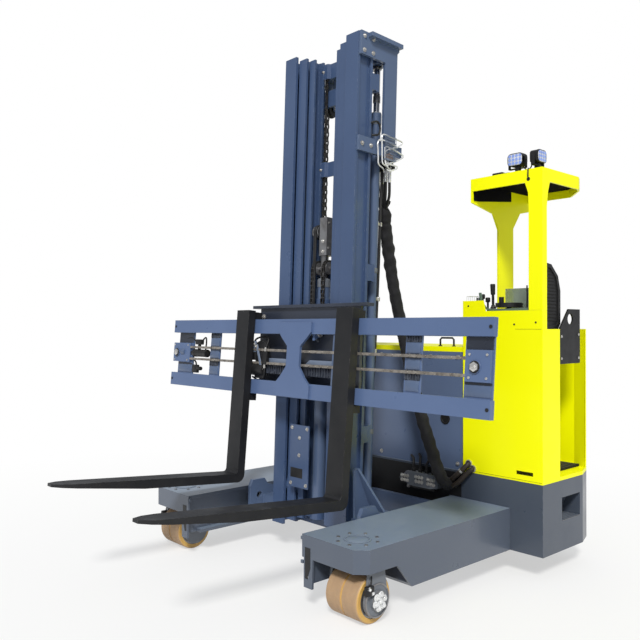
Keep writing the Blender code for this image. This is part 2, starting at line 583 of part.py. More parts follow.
def add_carriage():
    pin = (PIVOT_Y, PIVOT_Z)
    plates = both(box(0.068, 0.084, -0.03, 0.10, 0.98, 1.43))
    rollers = both(rod("x", (0.085, 1.03), 0.0255, 0.08, 0.1225, 20))
    rollers += both(rod("x", (0.085, 1.38), 0.0255, 0.08, 0.1225, 20))
    lug = [(-0.03, 1.24), (-0.03, 1.36), (-0.071, 1.325), (-0.071, 1.275)]
    add_piece("lift_carriage", "slate_paint",
              [box(-0.43, 0.43, -0.045, -0.025, 0.96, 1.455)],
              [("add", [box(-0.49, 0.49, -0.062, -0.006, 1.45, 1.468)]),
               ("add", plates),
               ("add", rollers),
               ("add", [box(-0.075, 0.075, 0.018, 0.038, 0.982, 1.0)]),
               ("add", both(prism("x", lug, 0.098, 0.116))),
               ("add", [rod("x", pin, 0.012, -0.145, 0.145, 20)])],
              place=MAST)
    head = [(-0.14, -0.02), (0.14, -0.02), (0.14, -0.075), (0.105, -0.11),
            (0.056, -0.155), (0.056, -0.27), (0.105, -0.33), (0.15, -0.37),
            (0.15, -0.442), (-0.15, -0.442), (-0.15, -0.37), (-0.105, -0.33),
            (-0.056, -0.27), (-0.056, -0.155), (-0.105, -0.11), (-0.14, -0.075)]
    beams = [box(-1.31, 1.31, 0.0, 0.03, -0.085, 0.0),
             box(-1.31, 1.31, 0.0, 0.03, -0.4446, -0.3596)]
    posts = [box(x0, x1, 0.019, 0.028, -0.37, -0.08)
             for x0, x1 in ((0.803, 0.905), (1.155, 1.306), (-0.873, -0.765),
                            (-1.26, POST_X))]
    ends = [box(1.165, 1.30, 0.0045, 0.021, -0.286, -0.145),
            box(-1.305, -1.10, 0.0045, 0.021, -0.283, -0.155)]
    nuts = [rod("y", (x, -0.22), 0.03, -0.002, 0.012, 16) for x in (1.22, -1.256)]
    inv = FRAME.inverted() @ MAST
    centre = inv @ Vector((0.0, PIVOT_Y, PIVOT_Z))
    eye = (centre.y, centre.z)
    ear = [(0.02, eye[1] + 0.04), (0.02, eye[1] - 0.04), (eye[0], eye[1] - 0.022),
           (eye[0] + 0.02, eye[1] - 0.012), (eye[0] + 0.02, eye[1] + 0.012),
           (eye[0], eye[1] + 0.022)]
    add_piece("fork_frame", "slate_paint", beams,
              [("add", posts),
               ("add", [prism("y", head, -0.012, 0.004)]),
               ("add", ends),
               ("add", nuts),
               ("add", both(prism("x", ear, 0.122, 0.138))),
               ("cut", [rod("x", eye, 0.0125, -0.2, 0.2, 24)])],
              place=FRAME)
    for word, z in (("upper", -0.182), ("lower", -0.260)):
        add_piece(f"frame_chain_{word}", "bare_steel",
                  [box(-1.10 + SEAT, 1.165 - SEAT, 0.004 + SEAT, 0.0165, z - 0.007,
                       z + 0.007)],
                  place=FRAME)
    add_piece("spread_motor", "black_plastic",
              [rod("x", (0.027, -0.22), 0.025, POST_X + SEAT, -0.924, 24)],
              place=FRAME)
    blade = BLADE_TOP_Z
    front = FORK_FACE_Y
    back = FORK_FACE_Y + FORK_THICK
    tip = FORK_FACE_Y - FORK_LENGTH
    side_view = [(back, FORK_TOP_Z), (front, FORK_TOP_Z)]
    side_view += circle((front - 0.02, blade + 0.02), 0.02, 4, 0.0, -math.pi / 2)
    side_view += [(tip, blade), (tip, blade - 0.014), (tip + 0.5, blade - 0.048)]
    side_view += circle((back - 0.045, blade - 0.005), 0.045, 6, -math.pi / 2, 0.0)
    for side, word in ((1, "right"), (-1, "left")):
        x0 = FORK_X - FORK_HALF_WIDTH
        x1 = FORK_X + FORK_HALF_WIDTH
        taper = [(x0, 0.2), (x0, tip + 0.12), (x0 + 0.012, tip + 0.05),
                 (x0 + 0.038, tip), (x1 - 0.038, tip), (x1 - 0.012, tip + 0.05),
                 (x1, tip + 0.12), (x1, 0.2), (x1 + 0.1, 0.2), (x1 + 0.1, tip - 0.1),
                 (x0 - 0.1, tip - 0.1), (x0 - 0.1, 0.2)]
        hooks = [box(FORK_X - 0.05, FORK_X + 0.05, -0.03, 0.05, 0.0005, 0.045),
                 box(FORK_X - 0.05, FORK_X + 0.05, -0.03, 0.05, -0.488, -0.4506)]
        lips = [box(FORK_X - 0.05, FORK_X + 0.05, 0.036, 0.05, -0.04, 0.04),
                box(FORK_X - 0.05, FORK_X + 0.05, 0.036, 0.05, -0.48, -0.41)]
        add_piece(f"fork_{word}", "fork_steel",
                  [side_of(prism("x", side_view, x0, x1), side)],
                  [("add", [side_of(s, side) for s in hooks]),
                   ("add", [side_of(s, side) for s in lips]),
                   ("cut", [side_of(prism("z", taper, blade - 0.1, blade + 0.1), side)])],
                  place=FRAME)


def add_reach_parts():
    plate = [(0.331, 0.215), (0.331, 0.36), (0.35, 0.398), (0.44, 0.398), (0.467, 0.36),
             (0.55, 0.335), (1.03, 0.335), (1.03, 0.165), (0.40, 0.165)]
    rollers = both(rod("x", (0.62, 0.245), 0.0945, 0.475, 0.538, 28))
    rollers += both(rod("x", (0.945, 0.245), 0.0945, 0.475, 0.538, 28))
    gusset = [(0.428, 0.567), (0.445, 0.567), (0.565, 0.30), (0.428, 0.30)]
    # sloping plate on the gusset, narrow at its top
    front = [(0.322, 0.569), (0.352, 0.569), (0.45, 0.33), (0.45, 0.298), (0.322, 0.298)]
    slope = (0.573 - 0.453) / (0.304 - 0.571)
    flange = []
    for side in (1, -1):
        near = [(x, 0.443 + (z - 0.571) * slope, z) for x, z in front]
        far = [(x, y + 0.012, z + 0.005) for x, y, z in near]
        count = len(front)
        faces = [tuple(range(count)), tuple(range(2 * count - 1, count - 1, -1))]
        faces += [(i, (i + 1) % count, count + (i + 1) % count, count + i)
                  for i in range(count)]
        flange.append(side_of((near + far, faces), side))
    add_piece("reach_carriage", "slate_paint",
              both(prism("x", plate, 0.460, 0.485)),
              [("add", rollers),
               ("add", [box(-0.47, 0.47, 0.590, 0.70, 0.17, 0.30),
                        box(-0.47, 0.47, 0.98, 1.01, 0.19, 0.32)]),
               ("add", both(box(0.3149, 0.47, 0.43, 0.61, 0.17, 0.30))),
               ("add", both(prism("x", gusset, 0.330, 0.345))),
               ("add", flange),
               ("cut", both(rod("x", (0.40, 0.30), 0.02, 0.45, 0.50, 16)))])
    add_piece("reach_barrel", "slate_paint",
              [lathe("y", (0.0, 0.245),
                     [(0.0255, 1.03), (0.04, 1.03), (0.04, 1.6), (0.0255, 1.6)], 24)],
              smooth=True)
    add_piece("reach_rod", "bare_steel",
              [rod("y", (0.0, 0.245), 0.025, 1.0103, 1.59, 24)], smooth=True)
    face = [(0.16, 0.42), (0.22, 0.47), (0.42, 0.47), (0.455, 0.44), (0.455, 0.40),
            (0.40, 0.385), (0.24, 0.385)]
    add_piece("valve_block", "bare_steel",
              [prism("y", face, 1.0, 1.012)],
              [("add", [box(0.22, 0.44, 1.005, 1.0667, 0.39, 0.465)])])


def add_sleeve():
    route = [(0.2, 0.80, 2.3135), (0.2, 0.81, 2.10), (0.205, 0.84, 1.85),
             (0.23, 0.865, 1.60), (0.28, 0.88, 1.35), (0.34, 0.89, 1.10),
             (0.41, 0.90, 0.85), (0.47, 0.92, 0.65), (0.50, 0.96, 0.50),
             (0.505, 1.01, 0.44), (0.505, 1.06, 0.43)]
    path = smooth_path(route, 40)
    curve = bpy.data.curves.new("hose_sleeve", "CURVE")
    curve.dimensions = "3D"
    curve.bevel_depth = 0.035
    curve.bevel_resolution = 2
    curve.use_fill_caps = True
    spline = curve.splines.new("POLY")
    spline.points.add(len(path) - 1)
    for i, point in enumerate(path):
        placed = BASE @ Vector(point)
        spline.points[i].co = (placed.x, placed.y, placed.z, 1.0)
    curve.materials.append(get_finish("rubber"))
    sleeve = bpy.data.objects.new("hose_sleeve", curve)
    bpy.context.scene.collection.objects.link(sleeve)


def smooth_path(route, count):
    # even points on a smooth curve through the route's own points
    points = [Vector(p) for p in route]
    ends = [points[0] * 2 - points[1]] + points + [points[-1] * 2 - points[-2]]
    fine = []
    for i in range(1, len(ends) - 2):
        a, b, c, d = ends[i - 1], ends[i], ends[i + 1], ends[i + 2]
        for k in range(24):
            t = k / 24
            fine.append(0.5 * (b * 2 + (c - a) * t
                               + (a * 2 - b * 5 + c * 4 - d) * t * t
                               + (b * 3 - a - c * 3 + d) * t * t * t))
    fine.append(points[-1])
    lengths = [0.0]
    for i in range(1, len(fine)):
        lengths.append(lengths[-1] + (fine[i] - fine[i - 1]).length)
    out = []
    j = 0
    for i in range(count):
        want = lengths[-1] * i / (count - 1)
        while j < len(fine) - 2 and lengths[j + 1] < want:
            j += 1
        span = lengths[j + 1] - lengths[j]
        out.append(fine[j].lerp(fine[j + 1], (want - lengths[j]) / span))
    return out


def build_all():
    clear_file()
    add_legs()
    add_chassis()
    add_front_wheels()
    add_rear_wheels()
    add_battery()
    add_cabin()
    add_reach_parts()
    add_outer_mast()
    add_mid_mast()
    add_inner_mast()
    add_carriage()
    add_sleeve()


build_all()
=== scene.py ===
# Four-way stand-on reach truck: finishes, small parts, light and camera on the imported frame.
import math
import random

import bmesh
import bpy
from mathutils import Matrix, Vector


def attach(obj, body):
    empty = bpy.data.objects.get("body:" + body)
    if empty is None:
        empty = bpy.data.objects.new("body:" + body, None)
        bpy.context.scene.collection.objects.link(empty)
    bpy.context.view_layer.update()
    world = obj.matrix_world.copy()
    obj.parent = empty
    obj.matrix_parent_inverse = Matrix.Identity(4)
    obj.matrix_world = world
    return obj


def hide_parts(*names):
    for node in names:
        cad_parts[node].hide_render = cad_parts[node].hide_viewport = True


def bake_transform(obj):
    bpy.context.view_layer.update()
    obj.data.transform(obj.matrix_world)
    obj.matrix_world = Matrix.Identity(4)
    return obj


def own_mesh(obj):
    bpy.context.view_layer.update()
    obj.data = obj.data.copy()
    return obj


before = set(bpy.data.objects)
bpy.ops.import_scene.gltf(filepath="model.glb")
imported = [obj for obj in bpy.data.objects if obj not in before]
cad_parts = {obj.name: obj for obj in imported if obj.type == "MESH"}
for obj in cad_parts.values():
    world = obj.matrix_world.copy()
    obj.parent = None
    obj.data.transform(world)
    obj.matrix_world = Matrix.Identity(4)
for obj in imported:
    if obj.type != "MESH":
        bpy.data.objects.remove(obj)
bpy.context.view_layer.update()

# The truck's own leans and where its front axle line lies, as in the CAD.
truckLayout = {
    "middleY": 0.36969, "mastLean": 2.09, "mastFootY": 0.379,
    "forkLean": 4.9, "forkEdgeY": 0.309, "forkEdgeZ": 1.385,
    "wheelX": 0.745, "wheelY": 0.045, "wheelRadius": 0.112,
}


def leaning(y, z, degrees):
    return (onTruck @ Matrix.Translation((0.0, y, z))
            @ Matrix.Rotation(math.radians(-degrees), 4, "X"))


onTruck = Matrix.Translation((0.0, -truckLayout["middleY"], 0.0))
onMast = leaning(truckLayout["mastFootY"], 0.0, truckLayout["mastLean"])
onForkFrame = leaning(truckLayout["forkEdgeY"], truckLayout["forkEdgeZ"],
                      truckLayout["forkLean"])
mirrored = ((1, "Right"), (-1, "Left"))


# Camera: the photograph's place, bearing and lens; angles in degrees, lens in mm.
cameraView = {
    "place": (3.0723, -2.68249, 1.34), "azimuth": 47.659, "pitch": 0.557, "roll": 0.067,
    "lens": 40.13,
}


def addCamera():
    azimuth, pitch, roll = (math.radians(cameraView[k]) for k in ("azimuth", "pitch", "roll"))
    ahead = Vector((-math.sin(azimuth) * math.cos(pitch),
                    math.cos(azimuth) * math.cos(pitch), math.sin(pitch)))
    level = Vector((math.cos(azimuth), math.sin(azimuth), 0.0))
    upright = level.cross(ahead)
    right = level * math.cos(roll) + upright * math.sin(roll)
    up = upright * math.cos(roll) - level * math.sin(roll)
    lensData = bpy.data.cameras.new("photoCamera")
    lensData.sensor_width = 36.0
    lensData.lens = cameraView["lens"]
    lensData.clip_end = 200.0
    camera = bpy.data.objects.new("photoCamera", lensData)
    turn = Matrix((right, up, -ahead)).transposed().to_4x4()
    camera.matrix_world = Matrix.Translation(cameraView["place"]) @ turn
    bpy.context.scene.collection.objects.link(camera)
    bpy.context.scene.camera = camera


def plug(tree, node, inputs):
    # each input takes a value or another node's output
    for key, value in inputs.items():
        if isinstance(value, bpy.types.NodeSocket):
            tree.links.new(value, node.inputs[key])
        else:
            node.inputs[key].default_value = value


def addNode(tree, kind, inputs, **settings):
    node = tree.nodes.new("ShaderNode" + kind)
    for key, value in settings.items():
        setattr(node, key, value)
    plug(tree, node, inputs)
    return node


class Finish:
    # a finish while its nodes are being laid
    def __init__(self, name):
        self.material = bpy.data.materials.new(name)
        self.material.use_nodes = True
        self.tree = self.material.node_tree
        self.tree.nodes.clear()
        self.shader = self.add("BsdfPrincipled", {})
        self.output = self.add("OutputMaterial", {"Surface": self.shader.outputs["BSDF"]})
        finishes[name] = self.material

    def add(self, kind, inputs, **settings):
        return addNode(self.tree, kind, inputs, **settings)

    def set(self, **inputs):
        # shader inputs, named without their spaces
        named = {"".join(socket.name.split()): socket.name for socket in self.shader.inputs}
        plug(self.tree, self.shader, {named[key]: value for key, value in inputs.items()})

    def coords(self, stretch=(1.0, 1.0, 1.0), centre=(0.0, 0.0, 0.0)):
        start = self.add("TexCoord", {})
        shift = [-c * s for c, s in zip(centre, stretch)]
        return self.add("Mapping", {"Vector": start.outputs["Object"], "Scale": stretch,
                                    "Location": shift}).outputs["Vector"]

    def noise(self, scale, detail=4.0, rough=0.55, stretch=(1.0, 1.0, 1.0)):
        return self.add("TexNoise", {"Vector": self.coords(stretch), "Scale": scale,
                                     "Detail": detail, "Roughness": rough}).outputs["Fac"]

    def remap(self, value, fromLow, fromHigh, toLow=0.0, toHigh=1.0):
        return self.add("MapRange", {"Value": value, "From Min": fromLow,
                                     "From Max": fromHigh, "To Min": toLow,
                                     "To Max": toHigh}).outputs["Result"]

    def patches(self, low, high, scale, detail, rough=0.55):
        return self.remap(self.noise(scale, detail, rough), low, high)

    def maths(self, how, *values):
        return self.add("Math", dict(enumerate(values)), operation=how).outputs["Value"]

    def times(self, first, *others):
        for value in others:
            first = self.maths("MULTIPLY", first, value)
        return first

    def mix(self, amount, first, second):
        colours = [(*c, 1.0) if isinstance(c, tuple) else c for c in (first, second)]
        return self.add("Mix", {0: amount, 6: colours[0], 7: colours[1]},
                        data_type="RGBA").outputs[2]

    def bump(self, height, strength, distance, under=None):
        inputs = {"Height": height, "Strength": strength, "Distance": distance}
        if under is not None:
            inputs["Normal"] = under
        self.set(Normal=self.add("Bump", inputs).outputs["Normal"])

    def edges(self, radius):
        # softened normals near an edge, and how near the edge is
        smooth = self.add("Bevel", {"Radius": radius}, samples=4).outputs["Normal"]
        flat = self.add("NewGeometry", {}).outputs["True Normal"]
        dot = self.add("VectorMath", {0: smooth, 1: flat}, operation="DOT_PRODUCT")
        return smooth, self.remap(dot.outputs["Value"], 0.995, 0.90)

    def facingUp(self, start=0.7):
        flat = self.add("NewGeometry", {}).outputs["True Normal"]
        parts = self.add("SeparateXYZ", {0: flat})
        return self.remap(parts.outputs["Z"], start, 1.0)


finishes = {}


def rowsOf(columns, rows):
    return {name: dict(zip(columns, row)) for name, row in rows.items()}


# Paint: colours, dust on upward faces, wear to bare along edges, scratches and orange peel.
paintLooks = rowsOf(
    ("colour", "shade", "dustColour", "bare",
     "driftScale", "edge", "dust", "wear", "scratch", "shine", "roughLow", "roughHigh",
     "coat", "peelScale", "peel"), {
    "slatePaint": ((0.08, 0.118, 0.205), (0.066, 0.098, 0.176), (0.3, 0.33, 0.38),
                   (0.26, 0.3, 0.38),
                   1.6, 0.0025, 0.22, 0.55, 0.16, 0.4, 0.26, 0.42, 0.2, 260.0, 0.08),
    "yellowPaint": ((0.96, 0.96, 0.001), (0.925, 0.93, 0.001), (0.7, 0.68, 0.2),
                    (0.6, 0.6, 0.12),
                    1.3, 0.003, 0.06, 0.25, 0.06, 0.16, 0.3, 0.42, 0.06, 240.0, 0.06),
    "seamPaint": ((0.3, 0.3, 0.01), (0.24, 0.24, 0.01), (0.3, 0.3, 0.15), (0.3, 0.3, 0.12),
                  3.0, 0.0005, 0.1, 0.1, 0.05, 0.15, 0.4, 0.55, 0.1, 240.0, 0.1),
    "greyPaint": ((0.15, 0.165, 0.19), (0.115, 0.128, 0.15), (0.32, 0.31, 0.3),
                  (0.42, 0.42, 0.42),
                  5.0, 0.002, 0.3, 0.6, 0.25, 0.4, 0.34, 0.55, 0.1, 300.0, 0.14),
    "forkPaint": ((0.01, 0.0105, 0.0125), (0.016, 0.016, 0.0175), (0.045, 0.045, 0.048),
                  (0.13, 0.125, 0.12),
                  6.0, 0.003, 0.16, 0.65, 0.22, 0.3, 0.38, 0.58, 0.0, 180.0, 0.2),
})

# The one slate coat, lighter or darker for each group of pieces as painted light and shade, from
# the lit frame to the shaded mast and the near-black painted shadow; a third colour, where given,
# is painted light on faces turned up.
slateLightAndShade = rowsOf(("colour", "shade", "top"), {
    "framePaint": ((0.088, 0.136, 0.262), (0.076, 0.12, 0.238)),
    "mastPaint": ((0.052, 0.087, 0.176), (0.042, 0.072, 0.152)),
    "darkPaint": ((0.02, 0.026, 0.042), (0.014, 0.018, 0.03)),
    "innerPaint": ((0.034, 0.042, 0.064), (0.024, 0.03, 0.048), (0.1, 0.142, 0.225)),
    "legPaint": ((0.086, 0.104, 0.14), (0.074, 0.092, 0.128), (0.198, 0.25, 0.325)),
    "chassisPaint": ((0.062, 0.076, 0.101), (0.052, 0.066, 0.094), (0.15, 0.185, 0.24)),
    "boxPaint": ((0.108, 0.15, 0.25), (0.094, 0.132, 0.226)),
    "fittingPaint": ((0.15, 0.186, 0.26), (0.126, 0.16, 0.23)),
})
slateLightAndShade["framePaint"]["coat"] = 0.25
slateLightAndShade["legPaint"]["coat"] = 0.30
slateLightAndShade["fittingPaint"]["driftScale"] = 6.0


def makePaint(name, look):
    f = Finish(name)
    colour = f.mix(f.patches(0.35, 0.66, look["driftScale"], 3.0), look["colour"],
                   look["shade"])
    # painted light: faces turned up take the lighter top colour
    if "top" in look:
        colour = f.mix(f.facingUp(0.5), colour, look["top"])
    smooth, edge = f.edges(look["edge"])
    dusty = f.times(f.facingUp(), f.patches(0.42, 0.78, 7.0, 7.0, 0.65), look["dust"])
    colour = f.mix(dusty, colour, look["dustColour"])
    worn = f.times(edge, f.patches(0.50, 0.60, 38.0, 6.0, 0.6), look["wear"])
    colour = f.mix(worn, colour, look["bare"])
    scratches = f.remap(f.noise(3.0, 5.0, 0.7, (9.0, 9.0, 160.0)), 0.63, 0.70, 0.0,
                        look["scratch"])
    gloss = f.remap(f.noise(5.0, 5.0, 0.6), 0.3, 0.7, look["roughLow"], look["roughHigh"])
    gloss = f.maths("ADD", gloss, f.times(dusty, 0.35))
    f.set(BaseColor=f.mix(scratches, colour, look["bare"]),
          Roughness=f.maths("ADD", gloss, f.times(worn, 0.25)),
          SpecularIORLevel=look["shine"], CoatWeight=look["coat"], CoatRoughness=0.12)
    f.bump(f.noise(look["peelScale"], 2.0), look["peel"], 0.0006, smooth)


steelLooks = rowsOf(
    ("colour", "stain", "grain", "stainScale", "metallic", "roughLow", "roughHigh", "bump"), {
    "chromeSteel": ((0.62, 0.63, 0.65), (0.48, 0.48, 0.49), (40.0, 40.0, 3.0),
                    7.0, 1.0, 0.08, 0.2, 0.03),
    "castSteel": ((0.3, 0.3, 0.31), (0.17, 0.16, 0.16), (30.0, 30.0, 30.0),
                  16.0, 0.85, 0.32, 0.52, 0.2),
    "boltSteel": ((0.62, 0.61, 0.59), (0.42, 0.4, 0.37), (60.0, 60.0, 60.0),
                  40.0, 0.75, 0.22, 0.38, 0.08),
    "oilyChain": ((0.3, 0.275, 0.245), (0.13, 0.115, 0.1), (50.0, 50.0, 50.0),
                  26.0, 0.45, 0.26, 0.44, 0.15),
    "brightSteel": ((0.8, 0.81, 0.82), (0.64, 0.64, 0.64), (60.0, 60.0, 10.0),
                    20.0, 0.4, 0.14, 0.28, 0.05),
    "chainSteel": ((0.075, 0.072, 0.07), (0.03, 0.027, 0.024), (50.0, 50.0, 50.0),
                   30.0, 0.75, 0.28, 0.48, 0.15),
})


def makeSteel(name, look):
    f = Finish(name)
    streaks = f.noise(6.0, 3.0, 0.55, look["grain"])
    f.set(BaseColor=f.mix(f.patches(0.42, 0.72, look["stainScale"], 5.0), look["colour"],
                          look["stain"]),
          Metallic=look["metallic"],
          Roughness=f.remap(streaks, 0.3, 0.7, look["roughLow"], look["roughHigh"]))
    f.bump(streaks, look["bump"], 0.0004, f.edges(0.0012)[0])


plasticLooks = rowsOf(
    ("colour", "shade", "driftScale", "shine", "dust", "roughLow", "roughHigh", "edge",
     "grainScale", "grain"), {
    "blackPlastic": ((0.0085, 0.0085, 0.0095), (0.0145, 0.0145, 0.0155),
                     9.0, 0.35, 0.18, 0.36, 0.52, 0.002, 620.0, 0.25),
    "blackRubber": ((0.012, 0.012, 0.012), (0.022, 0.021, 0.021),
                    12.0, 0.2, 0.3, 0.68, 0.85, 0.002, 420.0, 0.3),
    "brownHose": ((0.046, 0.036, 0.029), (0.026, 0.022, 0.019),
                  14.0, 0.25, 0.15, 0.38, 0.56, 0.001, 500.0, 0.2),
    "dullFoam": ((0.005, 0.005, 0.0055), (0.008, 0.008, 0.0085),
                 20.0, 0.04, 0.05, 0.9, 0.98, 0.001, 700.0, 0.35),
    "greenPlastic": ((0.11, 0.165, 0.12), (0.085, 0.13, 0.095),
                     10.0, 0.45, 0.2, 0.3, 0.45, 0.002, 500.0, 0.15),
    "whitePlastic": ((0.7, 0.71, 0.7), (0.6, 0.61, 0.6),
                     12.0, 0.4, 0.1, 0.35, 0.5, 0.001, 500.0, 0.15),
    "copperBlock": ((0.21, 0.125, 0.07), (0.14, 0.085, 0.05),
                    30.0, 0.4, 0.1, 0.35, 0.55, 0.001, 500.0, 0.2),
    "hoseRubber": ((0.01, 0.01, 0.011), (0.018, 0.018, 0.019),
                   18.0, 0.35, 0.1, 0.4, 0.58, 0.001, 500.0, 0.2),
})


def makePlastic(name, look):
    f = Finish(name)
    colour = f.mix(f.patches(0.35, 0.70, look["driftScale"], 5.0), look["colour"],
                   look["shade"])
    dusty = f.times(f.facingUp(0.5), look["dust"])
    f.set(BaseColor=f.mix(dusty, colour, (0.085, 0.083, 0.080)),
          Roughness=f.remap(f.noise(20.0, 4.0), 0.3, 0.7, look["roughLow"],
                            look["roughHigh"]),
          SpecularIORLevel=look["shine"])
    f.bump(f.noise(look["grainScale"], 3.0), look["grain"], 0.0005,
           f.edges(look["edge"])[0])


# Wheel tyres: amber moulded flanks and a tread worn to a dusty tan.
tyreLook = {
    "flank": (0.6, 0.365, 0.09), "flankShade": (0.52, 0.3, 0.078),
    "tread": (0.4, 0.262, 0.15), "treadWorn": (0.31, 0.205, 0.125),
    "roughFlank": 0.34, "roughTread": 0.62, "scuffed": 0.45,
}


def makeTyreFinish(name, centre, radius):
    f = Finish(name)
    fromHub = f.add("VectorMath", {0: f.coords((0.0, 1.0, 1.0), centre)}, operation="LENGTH")
    onTread = f.remap(fromHub.outputs["Value"], radius - 0.007, radius - 0.002)
    flank = f.mix(f.patches(0.35, 0.68, 11.0, 5.0), tyreLook["flank"],
                  tyreLook["flankShade"])
    scuffs = f.remap(f.noise(3.0, 4.0, 0.60, (14.0, 6.0, 6.0)), 0.40, 0.66, 0.0,
                     tyreLook["scuffed"])
    tread = f.mix(scuffs, tyreLook["tread"], tyreLook["treadWorn"])
    f.set(BaseColor=f.mix(onTread, flank, tread), SubsurfaceWeight=0.06,
          SubsurfaceRadius=(0.008, 0.004, 0.002),
          Roughness=f.remap(onTread, 0.0, 1.0, tyreLook["roughFlank"],
                            tyreLook["roughTread"]))
    f.bump(scuffs, 0.12, 0.0006)


# Fabric sleeve of the hoses: woven nylon on the tube's own map.
sleeveCloth = {
    "warp": (0.0085, 0.0085, 0.0095), "weft": (0.017, 0.017, 0.019),
    "faded": (0.034, 0.034, 0.038), "across": 90.0, "along": 900.0,
}


def makeSleeveCloth():
    f = Finish("sleeveCloth")
    parts = f.add("SeparateXYZ", {0: f.add("UVMap", {}, uv_map="clothMap").outputs["UV"]})
    waves = [f.maths("SINE", f.times(parts.outputs[side], 2 * math.pi * sleeveCloth[count]))
             for side, count in (("X", "across"), ("Y", "along"))]
    weave = f.remap(f.times(*waves), -1.0, 1.0)
    fade = f.remap(f.noise(14.0, 5.0), 0.45, 0.75, 0.0, 0.5)
    colour = f.mix(weave, sleeveCloth["warp"], sleeveCloth["weft"])
    f.set(BaseColor=f.mix(fade, colour, sleeveCloth["faded"]), Roughness=0.78,
          SpecularIORLevel=0.18, SheenWeight=0.05, SheenRoughness=0.5)
    f.bump(weave, 0.45, 0.0006)


# Clear moulded plastic: wind screen and lamp lenses.
def makeClearPlastic(name, tint, through, rough):
    f = Finish(name)
    haze = f.patches(0.35, 0.75, 18.0, 6.0)
    f.set(BaseColor=f.mix(haze, tint, tuple(0.8 * c for c in tint)), IOR=1.49,
          Roughness=f.remap(haze, 0.0, 1.0, rough, rough + 0.12),
          TransmissionWeight=through)
    f.bump(haze, 0.05, 0.0005)


def makeFinishes():
    for name, look in paintLooks.items():
        makePaint(name, look)
    # lit and shaded copies of the slate coat (painted light and shade)
    for name, tone in slateLightAndShade.items():
        makePaint(name, {**paintLooks["slatePaint"], **tone})
    for name, look in steelLooks.items():
        makeSteel(name, look)
    for name, look in plasticLooks.items():
        makePlastic(name, look)
    radius = truckLayout["wheelRadius"]
    frontY = truckLayout["wheelY"] - truckLayout["middleY"]
    makeTyreFinish("frontTyre", (0.0, frontY, radius), radius)
    makeTyreFinish("driveTyre", (0.0, 0.99031, 0.1715), 0.1715)
    makeTyreFinish("casterTyre", (0.0, 1.02031, 0.1), 0.1)
    makeSleeveCloth()
    makeClearPlastic("screenPlastic", (0.42, 0.50, 0.40), 0.65, 0.16)
    makeClearPlastic("lampFace", (0.80, 0.83, 0.90), 0.20, 0.08)
    makeClearPlastic("lampCup", (0.30, 0.42, 0.88), 0.10, 0.10)
    print("finishes made:", len(finishes))


# Which finish each carried-over piece wears.
nodeFinish = {
    "legPaint": "leg_right leg_left",
    "chassisPaint": "chassis",
    "boxPaint": "battery_box",
    "framePaint": "fork_frame",
    "mastPaint": "outer_mast outer_rail_right outer_rail_left mid_mast inner_mast",
    "innerPaint": "lift_carriage",
    "slatePaint": "hose_bracket lift_barrel_right lift_barrel_left free_barrel "
                  "reach_carriage reach_barrel caster_mount",
    "yellowPaint": "cabin_body overhead_guard guard_foot battery_lid",
    "greyPaint": "knuckle_right knuckle_left caster_fork console valve_block",
    "forkPaint": "fork_right fork_left",
    "chromeSteel": "lift_rod_right lift_rod_left reach_rod",
    "castSteel": "front_hub_right front_hub_left drive_hub caster_hub free_crosshead",
    "frontTyre": "front_tyre_right front_tyre_left",
    "driveTyre": "drive_tyre",
    "casterTyre": "caster_tyre",
    "blackPlastic": "battery_block drive_unit side_pad arm_plate lid_handle "
                    "work_lamp_front work_lamp_side steering_knob control_levers "
                    "spread_motor",
    "dullFoam": "roof_liner",
    "chainSteel": "stage_chain_right stage_chain_left frame_chain_upper frame_chain_lower",
    "blackRubber": "floor_mat",
    "screenPlastic": "wind_screen",
}


def dressNodes():
    left = set(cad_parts)
    for finish, names in nodeFinish.items():
        for name in names.split():
            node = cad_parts[name]
            node.data.materials.clear()
            node.data.materials.append(finishes[finish])
            left.discard(name)
    print("pieces of the frame still plain:", sorted(left))


def linkPiece(name, mesh, finish, body=None):
    # a piece with no body is left unattached here
    piece = bpy.data.objects.new(name, mesh)
    mesh.materials.append(finishes[finish])
    bpy.context.scene.collection.objects.link(piece)
    if body:
        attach(piece, body)
    return piece


def smoothRoute(points, count):
    # even points on a smooth curve through the given ones
    ends = [points[0] * 2 - points[1]] + points + [points[-1] * 2 - points[-2]]
    fine = []
    for a, b, c, d in zip(ends, ends[1:], ends[2:], ends[3:]):
        for k in range(24):
            t = k / 24
            fine.append(0.5 * (b * 2 + (c - a) * t
                               + (a * 2 - b * 5 + c * 4 - d) * t * t
                               + (b * 3 - a - c * 3 + d) * t * t * t))
    fine.append(points[-1])
    lengths = [0.0]
    for i in range(1, len(fine)):
        lengths.append(lengths[-1] + (fine[i] - fine[i - 1]).length)
    even = []
    j = 0
    for i in range(count):
        want = lengths[-1] * i / (count - 1)
        while j < len(fine) - 2 and lengths[j + 1] < want:
            j += 1
        even.append(fine[j].lerp(fine[j + 1], (want - lengths[j])
                                 / (lengths[j + 1] - lengths[j])))
    return even, lengths[-1]


